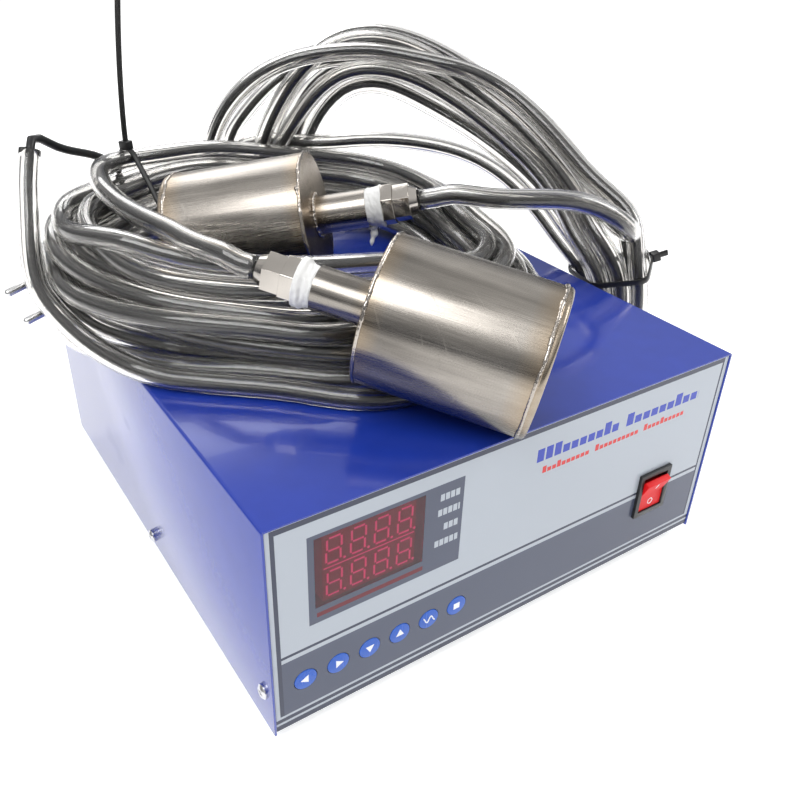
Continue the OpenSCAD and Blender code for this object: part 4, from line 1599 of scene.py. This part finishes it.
@dataclass
class Leads:
    """Both hoses with their cables, the mains cord, and the ties."""

    mains_turns: float = 4.5
    mains_slots: Slots = ((35.3, -4.3), (42.7, -4.3), (42.7, 3.0), (35.5, 3.0), (39.0, 9.4))
    gland_to_plug: float = 49.0

    def build(self, rng: Random) -> None:
        """Builds every cord and the ties that hold them.

        Args:
            rng: The seeded generator that the cords' unevenness comes from.
        """
        solids = []
        for t in TRANSDUCERS:
            at, axis = np.array(t.face, float), unit(t.axis)
            solids += [(at, axis, 0.0, t.can_l, t.can_r), (at, axis, t.can_l, t.entry, t.neck_r + 0.8)]
        solids.append((PLUG_AT, PLUG_AXIS, -19.0, 30.0, 17.5))
        hoses = Settling([FlatCoil().hose(rng), StandingCoil().hose(rng)], solids).run()
        for number, (line, tail) in enumerate(zip(hoses, (TAIL_1, TAIL_2)), 1):
            self.hose(number, line)
            self.cable(number, line, tail, rng)
        self.mains()
        Ties().build(np.vstack(hoses))

    @staticmethod
    def hose(number: int, line: Array) -> None:
        """One clear hose, open at its far end.

        Args:
            number: The transducer's number.
            line: The settled centreline.
        """
        route = spots(spaced(smooth_line(line, 2), 5))
        obj = tube_mesh(f"hose_{number}", route, HOSE_D / 2 * MM, 14, HOSE_BORE / 2 * MM)
        PAINT.root(obj, CLEAR_HOSE, "clear_hose", f"hose_lead_{number}", f"hose_coil_{number}")

    @staticmethod
    def cable(number: int, line: Array, tail: list[list[float]], rng: Random) -> None:
        """The black cable: loose in the hose, then free to its plug.

        Args:
            number: The transducer's number.
            line: The hose's centreline.
            tail: Points from the hose's open end to the plug.
            rng: The seeded generator its place in the hose comes from.
        """
        u, v = carried_sides(line)
        angle = np.cumsum(wander(rng, len(line), 14, 0.12))
        steps = np.arange(len(line))
        off = (HOSE_BORE - CABLE_D) / 2 * 0.8 * np.minimum(1, np.minimum(steps, steps[::-1]) / 6)
        inside = line + (off * np.cos(angle))[:, None] * u + (off * np.sin(angle))[:, None] * v
        free = smooth_line([line[-1], *tail], 6)[1:]
        route = spots(spaced(np.vstack([inside, free]), 8))
        obj = tube_mesh(f"cable_{number}", route, CABLE_D / 2 * MM, 10)
        plug = Bench.copy(f"cable_plug_{number}", f"round_plug_{number}", 0.4, NICKEL, "nickel")
        PAINT.root(obj, CABLE, "cable_black", f"cable_tail_{number}")
        LOG.info("cable %d is %.2f m long", number, measure(route))

    def mains(self) -> None:
        """The mains cord: from its gland into a floor coil, and up to the plug under the coil of hose."""
        t = np.linspace(0, self.mains_turns, int(self.mains_turns * 40))
        r, z = from_slots(self.mains_slots, t, 0.8)
        coil = round_turns(MAINS_COIL_AT, r, math.pi - TURN * t, z)
        plug_end = PLUG_AT + PLUG_AXIS * self.gland_to_plug
        route = spots(with_ends([*MAINS_END, coil[1], coil[8]], coil[1:-2],
                                [coil[-9], coil[-2], *MAINS_ROUTE[::-1], plug_end], 5))
        obj = tube_mesh("mains_lead", route, MAINS_D / 2 * MM, 12)
        plug = Bench.copy("mains_plug", "moulded_plug", 1.2, BLACK_PLASTIC, "plug_black", 3)
        pins = Bench.copy("plug_pins", "plug_prongs", 0.1, SCREW_STEEL, "nickel")
        PAINT.root(obj, CABLE, "cable_black", "mains_cord", "mains_coil")
        LOG.info("mains lead is %.2f m long", measure(route))


@dataclass
class Ties:
    """The nylon ties round the bundles, in millimetres."""

    width: float = 4.0
    thick: float = 1.3
    head: Triple = (7.0, 6.0, 5.5)
    back_at: Triple = (58.0, 300.0, 180.0)
    back_along: Triple = (0.88, 0.45, 0)
    side_at: Triple = (322.0, 114.0, 132.0)
    side_along: Triple = (-0.26, 0.16, 0.95)
    section: Slots = (
        (-1, -0.6), (-0.8, -1), (0.8, -1), (1, -0.6), (1, 0.6), (0.8, 1), (-0.8, 1), (-1, 0.6))

    def build(self, strands: Array) -> None:
        """Makes each tie round the strands that pass its place.

        Args:
            strands: Every point of the settled hoses.
        """
        back_along, side_along = unit(self.back_along), unit(self.side_along)
        back = self.round_bundle(strands, np.array(self.back_at), back_along, 46)
        side = self.round_bundle(strands, np.array(self.side_at), side_along, 40)
        floor = np.array([[math.cos(a) * 9.4, 0, math.sin(a) * 10.4] for a in np.linspace(0, TURN, 33)])
        floor += np.array([MAINS_COIL_AT[0] - 39, MAINS_COIL_AT[1], 3.4])
        back[:, 2] = np.maximum(back[:, 2], CASE_H + self.thick)
        side[:, 0] = np.maximum(side[:, 0], CASE_W + self.thick)
        made = [*self.strap(back, back_along, 106.0), *self.strap(side, side_along, 9.0),
                *self.strap(floor, np.array([0, 1.0, 0]), 7.0)]
        PAINT.root(Bench.join("nylon_ties", made), NYLON, "tie_nylon", "cable_ties")

    def round_bundle(self, strands: Array, at: Array, along: Array, reach: float) -> Array:
        """A closed line drawn tight round the strands near a place.

        Args:
            strands: Points of every strand.
            at: The middle of the tie.
            along: The direction in which the bundle runs there.
            reach: How far from the middle a strand may lie.

        Returns:
            The line's points, which start and end at the top.
        """
        d = strands - at
        close = (np.abs(d @ along) < 6) & (np.linalg.norm(d, axis=1) < reach)
        up = unit(np.array([0, 0, 1.0]) - along[2] * along)
        side = np.cross(along, up)
        flat = np.stack([d[close] @ side, d[close] @ up], 1)
        pad = HOSE_D / 2 + self.thick / 2 + 0.2
        angles = np.linspace(0, TURN, 49) + math.pi / 2
        step = angles[1] - angles[0]
        out = np.stack([np.cos(angles), np.sin(angles)], 1)
        middle = (flat.min(0) + flat.max(0)) / 2
        support = ((flat - middle) @ out.T).max(0) + pad
        slope = np.gradient(np.r_[support[:-1], support[:2]])[:49] / step
        slope[0] = slope[-1] = (support[1] - support[-2]) / 2 / step
        turned = np.stack([-out[:, 1], out[:, 0]], 1)
        ring = middle + out * support[:, None] + turned * slope[:, None]
        return at + ring[:, :1] * side + ring[:, 1:] * up

    def strap(self, ring: Array, along: Array, tail: float) -> list[Piece]:
        """A tie's strap, the free tail that stands up from it, and its head.

        Args:
            ring: The closed line that the strap follows.
            along: The direction of its width.
            tail: The tail's length.

        Returns:
            Its three pieces.
        """
        top = ring[0]
        up = unit(top - ring.mean(0))
        t = np.linspace(0, 1, 12)
        lean = np.stack([9 * t**1.6, -3 * t**2, tail * t], 1) if tail > 50 else up * tail * t[:, None]
        pieces = [self.ribbon("strap", ring, along), self.ribbon("tail", top + up * 2 + lean, along)]
        head = Bench.start("cube", "head", size=1.0)
        head.scale = [size * MM for size in self.head]
        Bench.settle(head)
        turn = Matrix(np.column_stack([unit(np.cross(along, up)), along, up]).tolist()).to_4x4()
        head.data.transform(Matrix.Translation(spot(*(top + up * 2.2))) @ turn)
        return [*pieces, Bench.bevel(head, 0.0007, 3)]

    def ribbon(self, name: str, line: Array, along: Array) -> Piece:
        """A flat strap along a line, with square edges slightly rounded.

        Args:
            name: The strap's name.
            line: Its centreline.
            along: The direction of its width.

        Returns:
            The strap.
        """
        out = np.cross(np.gradient(line, axis=0), along)
        out /= np.linalg.norm(out, axis=1)[:, None]
        half_w, half_t = self.width / 2, self.thick / 2
        corners = [line + sx * half_w * along + sy * half_t * out for sx, sy in self.section]
        n, m = len(line), len(corners)
        faces = [*wall(n, m), tuple(reversed(range(m))), tuple(range((n - 1) * m, n * m))]
        mesh = bpy.data.meshes.new(name)
        mesh.from_pydata(spots(np.stack(corners, 1).reshape(-1, 3)).tolist(), [], faces)
        obj = placed(name, mesh)
        with Bench.editing(obj):
            bpy.ops.mesh.select_all(action="SELECT")
            bpy.ops.mesh.normals_make_consistent(inside=False)
        return Bench.smooth(obj)


# ---- Studio ----


@dataclass
class Studio:
    """A plain pale floor, soft lights and the camera."""

    camera_at: Triple = (-104.1, -243.2, 352.7)
    camera_turn: Triple = (58.41, -1.79, -33.92)
    lens: float = 37.73
    aim: Triple = (0, 0, 0.1)
    lights: tuple[tuple[str, Triple, float, float], ...] = (
        ("key_light", (-0.9, -0.5, 1.5), 0.9, 15.0), ("right_light", (1.3, -0.6, 1.1), 0.7, 8.0),
        ("back_light", (0.3, 1.5, 1.3), 1.2, 13.0))

    def build(self) -> None:
        """Builds the studio."""
        PAINT.on(Bench.start("plane", "floor", size=24.0), PLAIN)
        self.world()
        for name, at, size, power in self.lights:
            self.light(name, at, size, power)
        data = bpy.data.cameras.new("camera")
        data.lens, data.sensor_width, data.clip_start = self.lens, 36.0, 0.01
        camera = placed("camera", data)
        camera.location = spot(*self.camera_at)
        camera.rotation_euler = [math.radians(a) for a in self.camera_turn]
        bpy.context.scene.camera = camera
        bpy.context.scene.view_settings.view_transform = "Standard"

    def light(self, name: str, at: Triple, size: float, power: float) -> None:
        """A square soft light that points at the object.

        Args:
            name: The light's name.
            at: Its place, in metres.
            size: The length of its side, in metres.
            power: Its power in watts.
        """
        data = bpy.data.lights.new(name, "AREA")
        data.size, data.energy = size, power
        obj = placed(name, data)
        obj.location = at
        obj.rotation_euler = (Vector(self.aim) - Vector(at)).to_track_quat("-Z", "Y").to_euler()

    @staticmethod
    def world() -> None:
        """A white sky with a dimmer band near the horizon, so that metal has something to reflect."""
        world = bpy.data.worlds.new("studio")
        bpy.context.scene.world = world
        world.use_nodes = True
        world.node_tree.nodes.clear()
        g = Graph(world.node_tree)
        height = g.add("SeparateXYZ", {0: g.add("TexCoord").outputs["Generated"]}).outputs[2]
        shade = g.mix(g.between(height, 0.12, 0.6), (0.16, 0.165, 0.18), (1.0, 1.0, 1.0))
        ray = g.add("LightPath").outputs["Is Camera Ray"]
        sky = g.add("Background", {0: g.mix(ray, shade, (1.25, 1.25, 1.25)), 1: 0.8})
        g.add("OutputWorld", {0: sky.outputs[0]})


def main() -> None:
    """Builds everything in order."""
    logging.basicConfig(level=logging.INFO, format="%(name)s: %(message)s")
    rng = np.random.default_rng(SEED)
    Studio().build()
    Leads().build(rng)
    LOG.info("leads are built")
    Case().build()
    Front().build()
    Back().build()
    for transducer in TRANSDUCERS:
        transducer.build(rng)
        LOG.info("transducer %s is built", transducer.tag)


if __name__ == "__main__":
    main()
